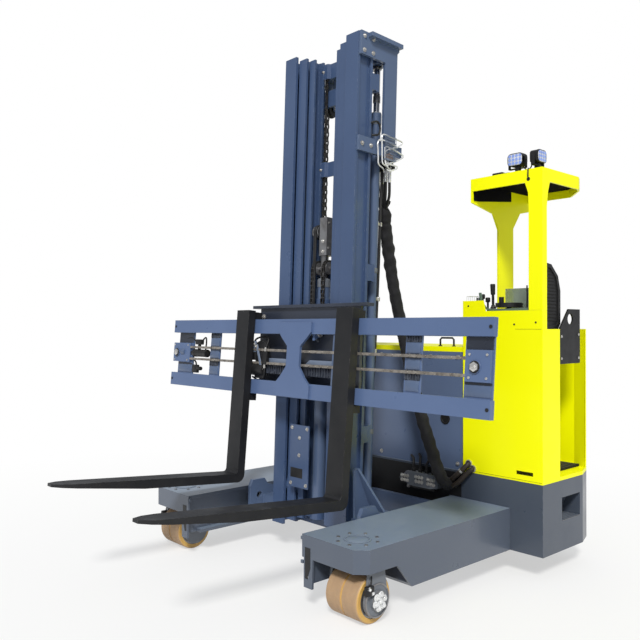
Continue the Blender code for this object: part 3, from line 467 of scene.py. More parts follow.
def makeTube(name, path, radiusAt, sides, finish):
    # a tube round the path; radiusAt gives its radius from place and angle
    build = bmesh.new()
    uvLayer = build.loops.layers.uv.new("clothMap")
    across = None
    rings = []
    for i, point in enumerate(path):
        ahead = (path[min(i + 1, len(path) - 1)] - path[max(i - 1, 0)]).normalized()
        if across is None:
            helper = Vector((1, 0, 0)) if abs(ahead.x) < 0.9 else Vector((0, 1, 0))
            across = ahead.cross(helper)
        across = (across - ahead * across.dot(ahead)).normalized()
        other = ahead.cross(across)
        ring = []
        for k in range(sides):
            angle = 2 * math.pi * k / sides
            offset = across * math.cos(angle) + other * math.sin(angle)
            ring.append(build.verts.new(point + offset * radiusAt(i, angle)))
        rings.append(ring)
    for i in range(len(rings) - 1):
        for k in range(sides):
            m = (k + 1) % sides
            face = build.faces.new((rings[i][k], rings[i][m],
                                    rings[i + 1][m], rings[i + 1][k]))
            corners = ((k, i), (k + 1, i), (k + 1, i + 1), (k, i + 1))
            for loop, (u, v) in zip(face.loops, corners):
                loop[uvLayer].uv = (u / sides, v / (len(rings) - 1))
    build.faces.new(list(reversed(rings[0])))
    build.faces.new(rings[-1])
    bmesh.ops.recalc_face_normals(build, faces=build.faces)
    for face in build.faces:
        face.smooth = True
    mesh = bpy.data.meshes.new(name)
    build.to_mesh(mesh)
    build.free()
    return linkPiece(name, mesh, finish)


# Hose sleeve: black fabric round the mast hoses, from the mast bracket to the valves.
sleeveRoute = {
    "points": ((0.2, 0.80, 2.3135), (0.2, 0.81, 2.10), (0.205, 0.84, 1.85),
               (0.23, 0.865, 1.60), (0.28, 0.88, 1.35), (0.34, 0.89, 1.10),
               (0.41, 0.90, 0.85), (0.47, 0.92, 0.65), (0.50, 0.96, 0.50),
               (0.505, 1.01, 0.44), (0.505, 1.06, 0.43)),
    "radius": 0.035, "rings": 460, "sides": 44,
    # distance down the sleeve, its radius there and how deep its folds are
    "form": ((0.0, 0.012, 0.0002), (0.222, 0.012, 0.0002), (0.232, 0.04, 0.005),
             (0.244, 0.037, 0.005), (0.268, 0.027, 0.003), (0.285, 0.033, 0.003),
             (0.315, 0.0405, 0.0024), (0.345, 0.039, 0.0024), (0.366, 0.032, 0.0016),
             (0.38, 0.035, 0.003), (0.5, 0.0365, 0.0046), (0.64, 0.0355, 0.004),
             (0.7, 0.0345, 0.002), (1.5, 0.0345, 0.0024), (1.7, 0.035, 0.0036),
             (2.1, 0.0345, 0.003)),
}


def makeSleeve():
    points = [onTruck @ Vector(p) for p in sleeveRoute["points"]]
    path, length = smoothRoute(points, sleeveRoute["rings"])
    chance = random.Random(11)
    phases = [chance.uniform(0.0, 6.28) for _ in range(12)]

    def radiusAt(i, angle):
        down = length * i / (sleeveRoute["rings"] - 1)
        form = sleeveRoute["form"]
        k = 0
        while k < len(form) - 2 and form[k + 1][0] < down:
            k += 1
        (d0, r0, f0), (d1, r1, f1) = form[k], form[k + 1]
        t = min(max((down - d0) / (d1 - d0), 0.0), 1.0)
        t = t * t * (3 - 2 * t)
        fold = (math.sin(down * 92.0 + 2.2 * math.sin(angle + phases[0]) + phases[1])
                + 0.8 * math.sin(down * 61.0 - 1.8 * math.sin(angle + phases[4])
                                 + angle + phases[2])
                + 0.5 * math.sin(angle * 5.0 + down * 9.0 + phases[3]))
        if 0.225 < down < 0.262:
            fold += 1.2 * math.sin(angle * 7.0 + phases[5])
        return r0 + (r1 - r0) * t + (f0 + (f1 - f0) * t) * 0.55 * fold

    sleeve = makeTube("hoseSleeveCloth", path, radiusAt, sleeveRoute["sides"],
                      "sleeveCloth")
    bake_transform(sleeve)
    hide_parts("hose_sleeve")
    print("hose sleeve length:", round(length, 3))


def facing(direction):
    return Vector(direction).to_track_quat("Z", "Y").to_matrix().to_4x4()


def softenEdges(build, verts, width, least=0.5):
    if width > 0.0:
        edges = {e for v in verts for e in v.link_edges if e.calc_face_angle(0.0) > least}
        bmesh.ops.bevel(build, geom=list(edges), offset=width, offset_type="OFFSET",
                        segments=2, profile=0.5, affect="EDGES", material=-1,
                        clamp_overlap=True)


def addCone(build, matrix, sides, radius, depth, endRadius=None):
    return bmesh.ops.create_cone(build, cap_ends=True, cap_tris=False, segments=sides,
                                 radius1=radius,
                                 radius2=radius if endRadius is None else endRadius,
                                 depth=depth, matrix=matrix)


def linkShape(pitch, height, width, plate):
    # one link of a roller chain along Z, its pins along X
    part = bmesh.new()
    for side in (1, -1):
        flat = (Matrix.Translation((side * (width / 2 - plate / 2), 0.0, 0.0))
                @ Matrix.Diagonal((plate, height / 2, 0.74 * pitch, 1.0))
                @ facing((1, 0, 0)))
        addCone(part, flat, 10, 1.0, 1.0)
    pin = Matrix.Translation((0.0, 0.0, pitch / 2)) @ facing((1, 0, 0))
    addCone(part, pin, 8, 0.27 * height, width + 0.002)
    addCone(part, pin, 10, 0.42 * height, width - 2.4 * plate)
    mesh = bpy.data.meshes.new("linkShape")
    part.to_mesh(mesh)
    part.free()
    return mesh


axisTurns = {"x": ((0, 0, 1), (1, 0, 0), (0, 1, 0)), "y": ((1, 0, 0), (0, 0, 1), (0, 1, 0)),
             "z": ((1, 0, 0), (0, 1, 0), (0, 0, 1))}


class Piece:
    # a visible piece while it is being shaped, in the frame that place gives
    def __init__(self, place=onTruck):
        self.build, self.place = bmesh.new(), place

    def pour(self, part):
        scrap = bpy.data.meshes.new("scrap")
        part.to_mesh(scrap)
        part.free()
        self.build.from_mesh(scrap)
        bpy.data.meshes.remove(scrap)

    def block(self, low, high, bevel=0.0):
        low, high = Vector(low), Vector(high)
        shape = Matrix.Translation((low + high) / 2) @ Matrix.Diagonal((*(high - low), 1.0))
        made = bmesh.ops.create_cube(self.build, size=1.0, matrix=self.place @ shape)
        softenEdges(self.build, made["verts"], bevel)

    def round(self, start, end, radius, sides=24, bevel=0.0, endRadius=None):
        start, end = Vector(start), Vector(end)
        shape = Matrix.Translation((start + end) / 2) @ facing(end - start)
        made = addCone(self.build, self.place @ shape, sides, radius, (end - start).length,
                       endRadius)
        softenEdges(self.build, made["verts"], bevel, 0.9)

    def turned(self, centre, axis, profile, sides=32):
        # a ring spun about the axis; profile: (radius, along), a closed loop
        part = bmesh.new()
        verts = [part.verts.new((r, 0.0, a)) for r, a in profile]
        edges = [part.edges.new((verts[i - 1], verts[i])) for i in range(len(verts))]
        bmesh.ops.spin(part, geom=verts + edges, cent=(0, 0, 0), axis=(0, 0, 1),
                       angle=2 * math.pi, steps=sides, use_merge=True)
        bmesh.ops.remove_doubles(part, verts=part.verts, dist=1e-6)
        bmesh.ops.recalc_face_normals(part, faces=part.faces)
        bmesh.ops.transform(part, verts=part.verts,
                            matrix=self.place @ Matrix.Translation(centre) @ facing(axis))
        self.pour(part)

    def outline(self, axis, points, start, end, bevel=0.0):
        # a flat outline pushed out from start to end along the axis
        part = bmesh.new()
        face = part.faces.new([part.verts.new((a, b, 0.0)) for a, b in points])
        made = bmesh.ops.extrude_face_region(part, geom=[face])
        moved = [v for v in made["geom"] if isinstance(v, bmesh.types.BMVert)]
        bmesh.ops.translate(part, verts=moved, vec=(0.0, 0.0, end - start))
        turn = Matrix(axisTurns[axis]).to_4x4()
        turn["xyz".index(axis)][3] = start
        bmesh.ops.transform(part, matrix=self.place @ turn, verts=part.verts)
        softenEdges(part, list(part.verts), bevel)
        bmesh.ops.recalc_face_normals(part, faces=part.faces)
        self.pour(part)

    def bolt(self, spot, outward, size):
        # washer, hexagon head and the end of the thread; size is across the flats
        spot, out = Vector(spot), Vector(outward).normalized()
        self.round(spot - out * 0.001, spot + out * 0.14 * size, 0.85 * size, 16)
        self.round(spot, spot + out * 0.62 * size, 0.577 * size, 6, 0.07 * size)
        self.round(spot, spot + out * 0.80 * size, 0.30 * size, 10, 0.05 * size)

    def bolts(self, spots, outward, size):
        for spot in spots:
            self.bolt(spot, outward, size)

    def chain(self, points, look, pins=(1, 0, 0)):
        # links laid evenly along the points, wide and narrow ones in turn
        path, length = smoothRoute([Vector(p) for p in points], 400)
        count = max(2, round(length / look["pitch"]))
        wide = linkShape(**look)
        slim = linkShape(**{**look, "width": look["width"] - 2.2 * look["plate"]})
        for i in range(count):
            low = path[round(i / count * (len(path) - 1))]
            high = path[round((i + 1) / count * (len(path) - 1))]
            ahead = (high - low).normalized()
            across = Vector(pins)
            across = (across - ahead * across.dot(ahead)).normalized()
            turn = Matrix((across, ahead.cross(across), ahead)).transposed().to_4x4()
            link = (wide if i % 2 else slim).copy()
            link.transform(self.place @ Matrix.Translation((low + high) / 2) @ turn)
            self.build.from_mesh(link)
            bpy.data.meshes.remove(link)
        bpy.data.meshes.remove(wide)
        bpy.data.meshes.remove(slim)

    def finish(self, name, finish, body, slot=None):
        mesh = bpy.data.meshes.new(name)
        self.build.to_mesh(mesh)
        self.build.free()
        for face in mesh.polygons:
            face.use_smooth = True
        mesh.set_sharp_from_angle(angle=math.radians(38))
        return linkPiece(name, mesh, finish, body)


def makeLine(name, runs, radius, finish, body, place=onTruck, resolution=3):
    # held hoses and wires: one smooth tube for each run of points
    curve = bpy.data.curves.new(name, "CURVE")
    curve.dimensions = "3D"
    curve.bevel_depth = radius
    curve.bevel_resolution = resolution
    curve.use_fill_caps = True
    for run in runs:
        path, _ = smoothRoute([place @ Vector(p) for p in run], max(8, 7 * len(run)))
        spline = curve.splines.new("POLY")
        spline.points.add(len(path) - 1)
        for point, spot in zip(spline.points, path):
            point.co = (*spot, 1.0)
    scrap = bpy.data.objects.new(name + "Curve", curve)
    bpy.context.scene.collection.objects.link(scrap)
    bpy.context.view_layer.update()
    mesh = bpy.data.meshes.new_from_object(scrap)
    mesh.name = name
    bpy.data.objects.remove(scrap, do_unlink=True)
    for face in mesh.polygons:
        face.use_smooth = True
    return linkPiece(name, mesh, finish, body)


# Chains, sheaves and hoses inside the mast, in the mast's own frame.
mastRunning = {
    "leaf": {"pitch": 0.0254, "height": 0.0125, "width": 0.016, "plate": 0.0028},
    "lift": {"pitch": 0.0254, "height": 0.012, "width": 0.026, "plate": 0.0032},
    "stageX": 0.084, "stageY": 0.1372, "stageLow": 0.3206, "stageHigh": 2.8614,
    "liftX": 0.0445, "liftY": 0.0307, "liftLow": 1.0003, "sheaveZ": 1.685,
    "sheaveY": 0.074, "anchorZ": 1.5, "crossheadRise": 0.675,
    "wheelY": 0.071, "wheelZ": 1.9, "grooveRadius": 0.034,
    "hoseX": (-0.04, -0.0275), "hoseRadius": 0.0058, "hoseLow": 1.0005,
    "topSheave": (-0.126, 0.229, 2.69), "topRadius": 0.042, "topBeam": 2.8625,
    "outerX": 0.197, "outerY": 0.1855,
}


def halfRound(x, y, z, radius, steps):
    # over the top of a sheave, from its front to its rear
    return [(x, y - radius * math.cos(a), z + radius * math.sin(a))
            for a in [math.pi * k / steps for k in range(steps + 1)]]


def mastChain(name, points, look, body):
    build = Piece(onMast)
    build.chain(points, look)
    return build.finish(name, "chainSteel", body)


def squashUp(piece):
    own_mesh(piece)


def blendUp(piece, lower, upper, foot, head):
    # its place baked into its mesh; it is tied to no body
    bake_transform(piece)


def makeLiftChains():
    m = mastRunning
    y, z, reach = m["sheaveY"], m["sheaveZ"], m["sheaveY"] - m["liftY"]
    for side, word in mirrored:
        run = [(side * m["stageX"], m["stageY"], m[end]) for end in ("stageLow", "stageHigh")]
        chain = mastChain("stageChain" + word, run, m["leaf"], "middle_mast")
        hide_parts("stage_chain_" + word.lower())

        x = side * m["liftX"]
        run = [(x, m["liftY"], m["liftLow"]), (x, m["liftY"], z)]
        front = mastChain("liftChain" + word, run, m["lift"], "carriage")
        squashUp(front)
        mastChain("sheaveChain" + word, halfRound(x, y, z, reach, 8), m["lift"], "crosshead")
        run = [(x, y + reach, m["anchorZ"]), (x, y + reach, z)]
        rear = mastChain("anchorChain" + word, run, m["lift"], None)
        blendUp(rear, "inner_stage", "crosshead", *run)
        build = Piece(onMast)
        build.round((side * 0.061, y, z), (side * 0.065, y, z), 0.0085, 6, 0.001)
        build.finish("sheaveNut" + word, "castSteel", "crosshead")


def makeWheelHoses():
    m = mastRunning
    y, z, low = m["wheelY"], m["wheelZ"], m["hoseLow"]
    build = Piece(onMast)
    for x in (-0.0595, -0.0495, -0.0185, -0.0085):
        build.turned((x, y, z), (1, 0, 0), [(0.0125, -0.0012), (0.0408, -0.0012),
            (0.0408, 0.0012), (0.0125, 0.0012)], 40)
    build.round((-0.065, y, z), (-0.058, y, z), 0.022, 24, 0.002)
    build.finish("hoseWheelRims", "blackPlastic", "crosshead")
    build = Piece(onMast)
    for nutY in (0.052, 0.096):
        for nutZ in (1.8, 1.945):
            build.round((0.059, nutY, nutZ), (0.0635, nutY, nutZ), 0.0065, 6, 0.0008)
    build.bolts(((0.03, 0.036, 1.78), (0.03, 0.036, 1.84)), (0, -1, 0), 0.013)
    build.finish("crossheadBolts", "boltSteel", "crosshead")

    def hoses(name, runs, body):
        return makeLine(name, runs, m["hoseRadius"], "hoseRubber", body, onMast)

    ring = m["grooveRadius"] + m["hoseRadius"]
    foreY, rearY, middle = y - ring, y + ring, -0.034
    hoses("wheelHoses", [halfRound(x, y, z, ring, 10) for x in m["hoseX"]], "crosshead")
    fore = hoses("foreHoses", [[(x, foreY, height) for height in (low, 1.3, 1.6, z)]
        for x in m["hoseX"]], "carriage")
    squashUp(fore)
    rear = hoses("rearHoses", [[(x - 0.006, rearY, m["anchorZ"]), (x - 0.002, rearY, 1.62),
        (x, rearY, 1.75), (x, rearY, z)] for x in m["hoseX"]], None)
    blendUp(rear, "inner_stage", "crosshead", (middle, rearY, m["anchorZ"]),
            (middle, rearY, z))


def makeTopSheave():
    # sheave under the middle mast's top beam, with its chain to the foot of the mast
    m = mastRunning
    x, y, z = m["topSheave"]
    radius, beam = m["topRadius"], m["topBeam"]
    cheek = [(y - 0.022, beam), (y - 0.022, z), (y - 0.014, z - 0.018), (y + 0.014, z - 0.018),
        (y + 0.022, z), (y + 0.022, beam)]
    build = Piece(onMast)
    for middle in (x - 0.026, x + 0.026):
        build.outline("x", cheek, middle - 0.003, middle + 0.003, 0.0008)
    build.finish("topSheaveFork", "slatePaint", "middle_mast")
    build = Piece(onMast)
    rim = [(radius + 0.006, 0.0155), (radius + 0.006, 0.02), (0.008, 0.02)]
    groove = [(radius - 0.006, -0.0125), (radius - 0.006, 0.0125)]
    build.turned((x, y, z), (1, 0, 0), [(r, -a) for r, a in reversed(rim)] + groove + rim, 40)
    build.finish("topSheave", "blackPlastic", "middle_mast")
    build = Piece(onMast)
    build.round((x - 0.031, y, z), (x + 0.031, y, z), 0.009, 20, 0.001)
    for side in (1, -1):
        build.bolt((x + side * 0.029, y, z), (side, 0, 0), 0.018)
    build.finish("topSheavePin", "boltSteel", "middle_mast")
    mastChain("topSheaveChain", halfRound(x, y, z, radius, 8), m["lift"], "middle_mast")
    for spot, word in ((y - radius, "Fore"), (y + radius, "Rear")):
        run = [(x, spot, 0.36), (x, spot, z)]
        chain = mastChain("topChain" + word, run, m["lift"], None)
        blendUp(chain, "reach_mast", "middle_mast", *run)


def makeOuterChains():
    # behind the ties of the outer mast
    m = mastRunning
    for side, word in mirrored:
        x, y = side * m["outerX"], m["outerY"]
        run = [(x, y, 0.75), (x, y, 2.72)]
        chain = mastChain("outerChain" + word, run, m["leaf"], None)
        blendUp(chain, "reach_mast", "middle_mast", *run)
        build = Piece(onMast)
        build.round((x, y, 2.715), (x, y, m["topBeam"]), 0.0055, 14, 0.0008)
        build.block((x - 0.01, 0.179, 2.7), (x + 0.01, 0.192, 2.735), 0.0015)
        build.finish("outerAnchor" + word, "boltSteel", "middle_mast")
    print("mast chains and hoses made")


# Fittings on the rods, cross members and carriage.
def makeMastFittings():
    for side, word in mirrored:
        x, y = side * 0.238, 0.237
        build = Piece(onMast)
        for low, high, radius in ((2.65, 2.69, 0.0215), (2.69, 2.705, 0.019),
                (2.846, 2.861, 0.026)):
            build.round((x, y, low), (x, y, high), radius, 28, 0.002)
        build.finish("rodFitting" + word, "castSteel", "middle_mast")
        build = Piece(onMast)
        build.round((x, y, 2.584), (x, y, 2.5915), 0.029, 32, 0.001)
        build.round((x, y, 0.3102), (x, y, 0.345), 0.034, 32, 0.003)
        for z in (0.74, 1.66, 2.52):
            build.round((x, y, z), (x, y, z + 0.028), 0.0305, 32, 0.002)
        build.finish("barrelBands" + word, "greyPaint", "reach_mast")
        build = Piece(onMast)
        for z in (0.754, 1.674, 2.534):
            build.block((x - 0.012, 0.172, z - 0.012), (x + 0.012, 0.214, z + 0.012), 0.002)
        build.finish("barrelBrackets" + word, "slatePaint", "reach_mast")
        build = Piece(onMast)
        build.bolts([(side * 0.268, 0.175, z) for z in (0.19, 0.28, 0.715, 0.785, 1.615,
            1.685, 2.695, 2.765)], (0, 1, 0), 0.017)
        build.finish("tieBolts" + word, "boltSteel", "reach_mast")
        build = Piece(onMast)
        build.round((side * 0.28, 0.06, 0.4), (side * 0.2835, 0.06, 0.4), 0.028, 24, 0.001)
        build.finish("rollerCap" + word, "castSteel", "middle_mast")
    # bolts of the cross members on the inner stage
    build = Piece(onMast)
    build.bolts([(side * x, 0.1165, z) for x, z in ((0.075, 1.45), (0.075, 0.29),
        (0.096, 2.289), (0.096, 2.885)) for side in (-1, 1)], (0, -1, 0), 0.013)
    build.finish("innerBolts", "boltSteel", "inner_stage")
    # foot cover with a bare dark window and its bolts
    build = Piece(onMast)
    build.block((-0.122, -0.0312, 0.47), (-0.018, -0.0298, 0.525), 0.0006)
    build.finish("coverWindow", "blackPlastic", "inner_stage")
    build = Piece(onMast)
    build.bolts([(x, -0.03, z) for x, z in ((-0.118, 0.435), (0.014, 0.435), (-0.118, 0.755),
        (0.014, 0.755), (-0.05, 0.6), (-0.05, 0.7))], (0, -1, 0), 0.013)
    build.finish("coverBolts", "boltSteel", "inner_stage")
    # gland of the free lift cylinder
    build = Piece(onMast)
    build.turned((0.0, 0.082, 1.6), (0, 0, 1), [(0.024, -0.025), (0.0405, -0.025),
        (0.0405, 0.018), (0.034, 0.026), (0.024, 0.026)], 36)
    build.finish("freeGland", "greyPaint", "inner_stage")
    # lift carriage: bolts, pin caps and the chains' nuts
    build = Piece(onMast)
    for side in (-1, 1):
        build.bolts([(side * 0.4, -0.045, z) for z in (1.0, 1.2, 1.4)], (0, -1, 0), 0.02)
        build.bolts([(side * 0.22, -0.025, z) for z in (1.02, 1.39)], (0, 1, 0), 0.018)
        build.round((side * 0.142, -0.071, 1.3), (side * 0.15, -0.071, 1.3), 0.02, 24, 0.002)
        x = side * mastRunning["liftX"]
        build.round((x, 0.0305, 0.955), (x, 0.0305, 0.983), 0.0065, 14, 0.001)
        build.round((x, 0.0305, 0.966), (x, 0.0305, 0.978), 0.0125, 6, 0.0012)
    build.finish("carriageBolts", "boltSteel", "carriage")
    print("mast fittings made")


# Fork frame: its chains, nuts, the spreading motor and the valve cluster.
frameFittings = {
    "chain": {"pitch": 0.0254, "height": 0.0158, "width": 0.0166, "plate": 0.0024},
    "chainY": 0.0104, "chainZ": (-0.182, -0.26), "from": -1.099, "to": 1.164,
    "clusterShift": -0.135, "plateEnds": (1.22, -1.256), "endZ": -0.22,
    "plateBack": 0.0165, "lidLow": -0.352, "lidHigh": -0.3,
}


def addRibs(build, x0, x1, y, low, high, pitch, radius, sides):
    # upright half-sunk bars, evenly from x0 to x1
    count = round((x1 - x0) / pitch)
    for k in range(count):
        x = x0 + (x1 - x0) * (k + 0.5) / count
        build.round((x, y, low), (x, y, high), radius, sides, 0.001)


def makeFrameFittings():
    f = frameFittings
    for z, word in zip(f["chainZ"], ("upper", "lower")):
        build = Piece(onForkFrame)
        build.chain([(f[end], f["chainY"], z) for end in ("from", "to")], f["chain"],
            pins=(0, 1, 0))
        chain = build.finish("frameChain" + word.capitalize(), "oilyChain", "tilt_frame")
        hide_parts("frame_chain_" + word)
    # nuts on the two end plates, set in black rings that are painted shade of the holes round
    # them
    z = f["endZ"]
    build = Piece(onForkFrame)
    for x in f["plateEnds"]:
        build.turned((x, -0.0018, z), (0, -1, 0), [(0.018, -0.001), (0.0275, -0.001),
            (0.0275, 0.0016), (0.018, 0.0016)], 32)
    build.finish("endSeats", "blackPlastic", "tilt_frame")
    build = Piece(onForkFrame)
    for x in f["plateEnds"]:
        build.round((x, -0.012, z), (x, -0.0015, z), 0.0225, 6, 0.0015)
        build.round((x, -0.016, z), (x, -0.0015, z), 0.0085, 20, 0.0015)
    for x, z in ((1.188, -0.165), (1.188, -0.268), (1.28, -0.165), (1.28, -0.268),
            (-1.125, -0.169), (-1.125, -0.27), (-1.29, -0.169), (-1.29, -0.27)):
        build.round((x, 0.0048, z), (x, 0.0008, z), 0.0062, 20, 0.001)
    build.finish("endNuts", "boltSteel", "tilt_frame")
    build = Piece(onForkFrame)
    build.round((-1.205, 0.012, -0.215), (-1.165, 0.012, -0.215), 0.021, 24, 0.003)
    back, lid = f["plateBack"], (f["lidLow"], f["lidHigh"])
    for x0, x1, rows in ((0.812, 0.896, ((-0.168, -0.118), (-0.246, -0.196), lid)),
            (-0.866, -0.772, ((-0.168, -0.118), (-0.246, -0.196), lid)),
            (1.162, 1.3, (lid,)), (-1.25, -1.082, (lid,))):
        for low, high in rows:
            build.block((x0, back, low), (x1, back + 0.003, high), 0.001)
    build.finish("postPlates", "slatePaint", "tilt_frame")
    # near-black bands on the posts with ribs across them: painted shadow of the upper beam and
    # ribbed painted shadow of the two chains
    build = Piece(onForkFrame)
    for x0, x1 in ((0.806, 0.902), (-0.871, -0.768)):
        for low, high in ((-0.116, -0.087), (-0.194, -0.17), (-0.298, -0.248)):
            build.block((x0, 0.0172, low), (x1, 0.0192, high))
            addRibs(build, x0, x1, back, low + 0.002, high - 0.002, 0.017, 0.0052, 12)
    for x0, x1, low in ((1.16, 1.303, -0.142), (-1.255, -1.078, -0.152)):
        build.block((x0, 0.0172, low), (x1, 0.0192, -0.087))
        build.block((x0, 0.0172, -0.299), (x1, 0.0192, -0.288))
    build.finish("postBacks", "darkPaint", "tilt_frame")
    # end of the spreading motor, its coupling, valve and short hoses
    build = Piece(onForkFrame)
    build.round((-0.94, 0.027, -0.22), (-0.915, 0.027, -0.22), 0.0262, 32, 0.005)
    build.round((-1.074, 0.027, -0.22), (-1.04, 0.027, -0.22), 0.0262, 32, 0.002)
    build.round((-1.1, 0.027, -0.22), (-1.07, 0.027, -0.22), 0.017, 24, 0.002)
    build.block((-1.055, 0.014, -0.163), (-0.985, 0.04, -0.128), 0.005)
    build.round((-1.02, 0.027, -0.2), (-1.02, 0.027, -0.15), 0.011, 16, 0.001)
    build.block((-1.06, 0.004, -0.352), (-1.0, 0.026, -0.298), 0.004)
    build.round((-1.005, 0.016, -0.322), (-0.965, 0.016, -0.322), 0.013, 20, 0.003)
    build.finish("spreadMotorParts", "blackPlastic", "tilt_frame")
    makeLine("spreadHoses", [[(-1.05, 0.024, -0.145), (-1.1, 0.02, -0.12), (-1.16, 0.022, -0.125),
        (-1.19, 0.024, -0.16), (-1.185, 0.024, -0.205)], [(-0.99, 0.024, -0.14),
        (-0.955, 0.03, -0.115), (-0.95, 0.034, -0.15), (-0.955, 0.034, -0.195)],
        [(-1.03, 0.02, -0.3), (-1.035, 0.016, -0.28), (-1.09, 0.024, -0.25),
        (-1.095, 0.027, -0.228)]], 0.0052, "hoseRubber", "tilt_frame", onForkFrame)
    # valve cluster on the frame beside the left fork's rest place
    onCluster = onForkFrame @ Matrix.Translation((f["clusterShift"], 0.0, 0.0))
    build = Piece(onCluster)
    build.block((-0.318, 0.006, -0.196), (-0.236, 0.012, -0.13), 0.001)
    build.block((-0.318, 0.006, -0.262), (-0.286, 0.012, -0.13), 0.001)
    build.outline("y", [(-0.236, -0.15), (-0.216, -0.15), (-0.15, -0.306),
        (-0.17, -0.306)], 0.002, 0.007, 0.0008)
    build.finish("clusterPlate", "fittingPaint", "tilt_frame")
    build = Piece(onCluster)
    build.block((-0.24, 0.012, -0.352), (-0.15, 0.03, -0.136), 0.004)
    build.round((-0.275, 0.024, -0.3), (-0.15, 0.024, -0.3), 0.036, 32, 0.006)
    build.round((-0.29, 0.024, -0.3), (-0.273, 0.024, -0.3), 0.026, 32, 0.004)
    build.block((-0.292, 0.008, -0.245), (-0.238, 0.03, -0.196), 0.005)
    build.block((-0.163, -0.002, -0.268), (-0.118, 0.022, -0.19), 0.005)
    build.finish("clusterMotor", "blackPlastic", "tilt_frame")
    build = Piece(onCluster)
    build.bolts([(x, 0.006, z) for x, z in ((-0.302, -0.165), (-0.302, -0.215),
        (-0.302, -0.245), (-0.255, -0.15))], (0, -1, 0), 0.015)
    build.bolts(((-0.226, 0.002, -0.162), (-0.16, 0.002, -0.296)), (0, -1, 0), 0.013)
    for x in (-0.278, -0.255):
        build.round((x, 0.019, -0.198), (x, 0.019, -0.178), 0.0075, 6, 0.001)
    for z in (-0.192, -0.29):
        build.round((-0.143, 0.01, z), (-0.143, 0.01, z + 0.024), 0.0085, 6, 0.001)
    build.finish("clusterFittings", "boltSteel", "tilt_frame")
    makeLine("clusterHoses", [[(-0.278, 0.019, -0.18), (-0.279, 0.02, -0.155),
        (-0.262, 0.026, -0.118), (-0.215, 0.034, -0.104), (-0.15, 0.032, -0.112),
        (-0.142, 0.018, -0.15), (-0.143, 0.01, -0.172)], [(-0.255, 0.019, -0.18),
        (-0.256, 0.02, -0.16), (-0.24, 0.033, -0.135), (-0.19, 0.036, -0.128),
        (-0.152, 0.036, -0.16), (-0.146, 0.036, -0.23), (-0.15, 0.034, -0.33)],
        [(-0.143, 0.01, -0.285), (-0.143, 0.012, -0.318), (-0.17, 0.03, -0.352),
        (-0.235, 0.036, -0.362), (-0.28, 0.03, -0.345)]], 0.0056, "hoseRubber", "tilt_frame",
        onCluster)
    # near-black ribbed bands that lie behind the frame, painted shadow of the chain, with pale
    # trapezoids above them as painted light falling between the shadows
    chainShadows, litPatches = Piece(onForkFrame), Piece(onForkFrame)
    high = -0.268
    for start, end in ((-0.33, -0.07), (0.07, 0.33)):
        chainShadows.block((start, 0.031, high - 0.052), (end, 0.037, high))
        addRibs(chainShadows, start, end, 0.03, high - 0.05, high - 0.002, 0.0215, 0.0068, 14)
        litPatches.outline("y", [(start, high + 0.001), (start, high + 0.018),
            (start + 0.03, high + 0.04), (end - 0.03, high + 0.04), (end, high + 0.018),
            (end, high + 0.001)], 0.027, 0.031, 0.0008)
    chainShadows.finish("ribbedGuards", "darkPaint", "tilt_frame")
    litPatches.finish("guardCovers", "fittingPaint", "tilt_frame")
    # thin guide strip by the right fork, black pins at the beam ends
    build = Piece(onForkFrame)
    build.block((0.303, 0.006, -0.435), (0.322, 0.012, -0.01), 0.001)
    build.finish("guideStrip", "slatePaint", "tilt_frame")
    build = Piece(onForkFrame)
    for x in (1.294, -1.294):
        for z in (-0.0425, -0.402):
            build.round((x, -0.0035, z), (x, 0.001, z), 0.0085, 20, 0.001)
    for x in (-0.44, 0.44):
        for z in (0.022, -0.468):
            build.round((x, -0.0315, z), (x, -0.029, z), 0.012, 20, 0.001)
    build.finish("beamPins", "blackPlastic", "tilt_frame")
    # fork locks on top of each hook
    for side, word in mirrored:
        build = Piece(onForkFrame)
        x = side * 0.44
        build.round((x, 0.01, 0.044), (x, 0.01, 0.05), 0.012, 6, 0.001)
        for z in (0.02, -0.468):
            for dx in (-0.036, 0.036):
                build.round((x + dx, 0.049, z), (x + dx, 0.056, z), 0.009, 6, 0.001)
        build.finish("forkLock" + word, "boltSteel", word.lower() + "_fork")
    print("fork frame fittings made")


# Top of the hoses: the four hoses, their ferrules and clamp bar, and the wire guides.
hoseTop = {
    "xs": (0.207, 0.236, 0.265, 0.294), "y": 0.302, "barLow": 2.33, "barHigh": 2.395,
    "hose": 0.0084, "ferrule": 0.01, "ferruleTop": 2.252, "ferruleFoot": 2.196,
    "collarY": 0.3565, "collarZ": 2.05, "wire": 0.0045,
}


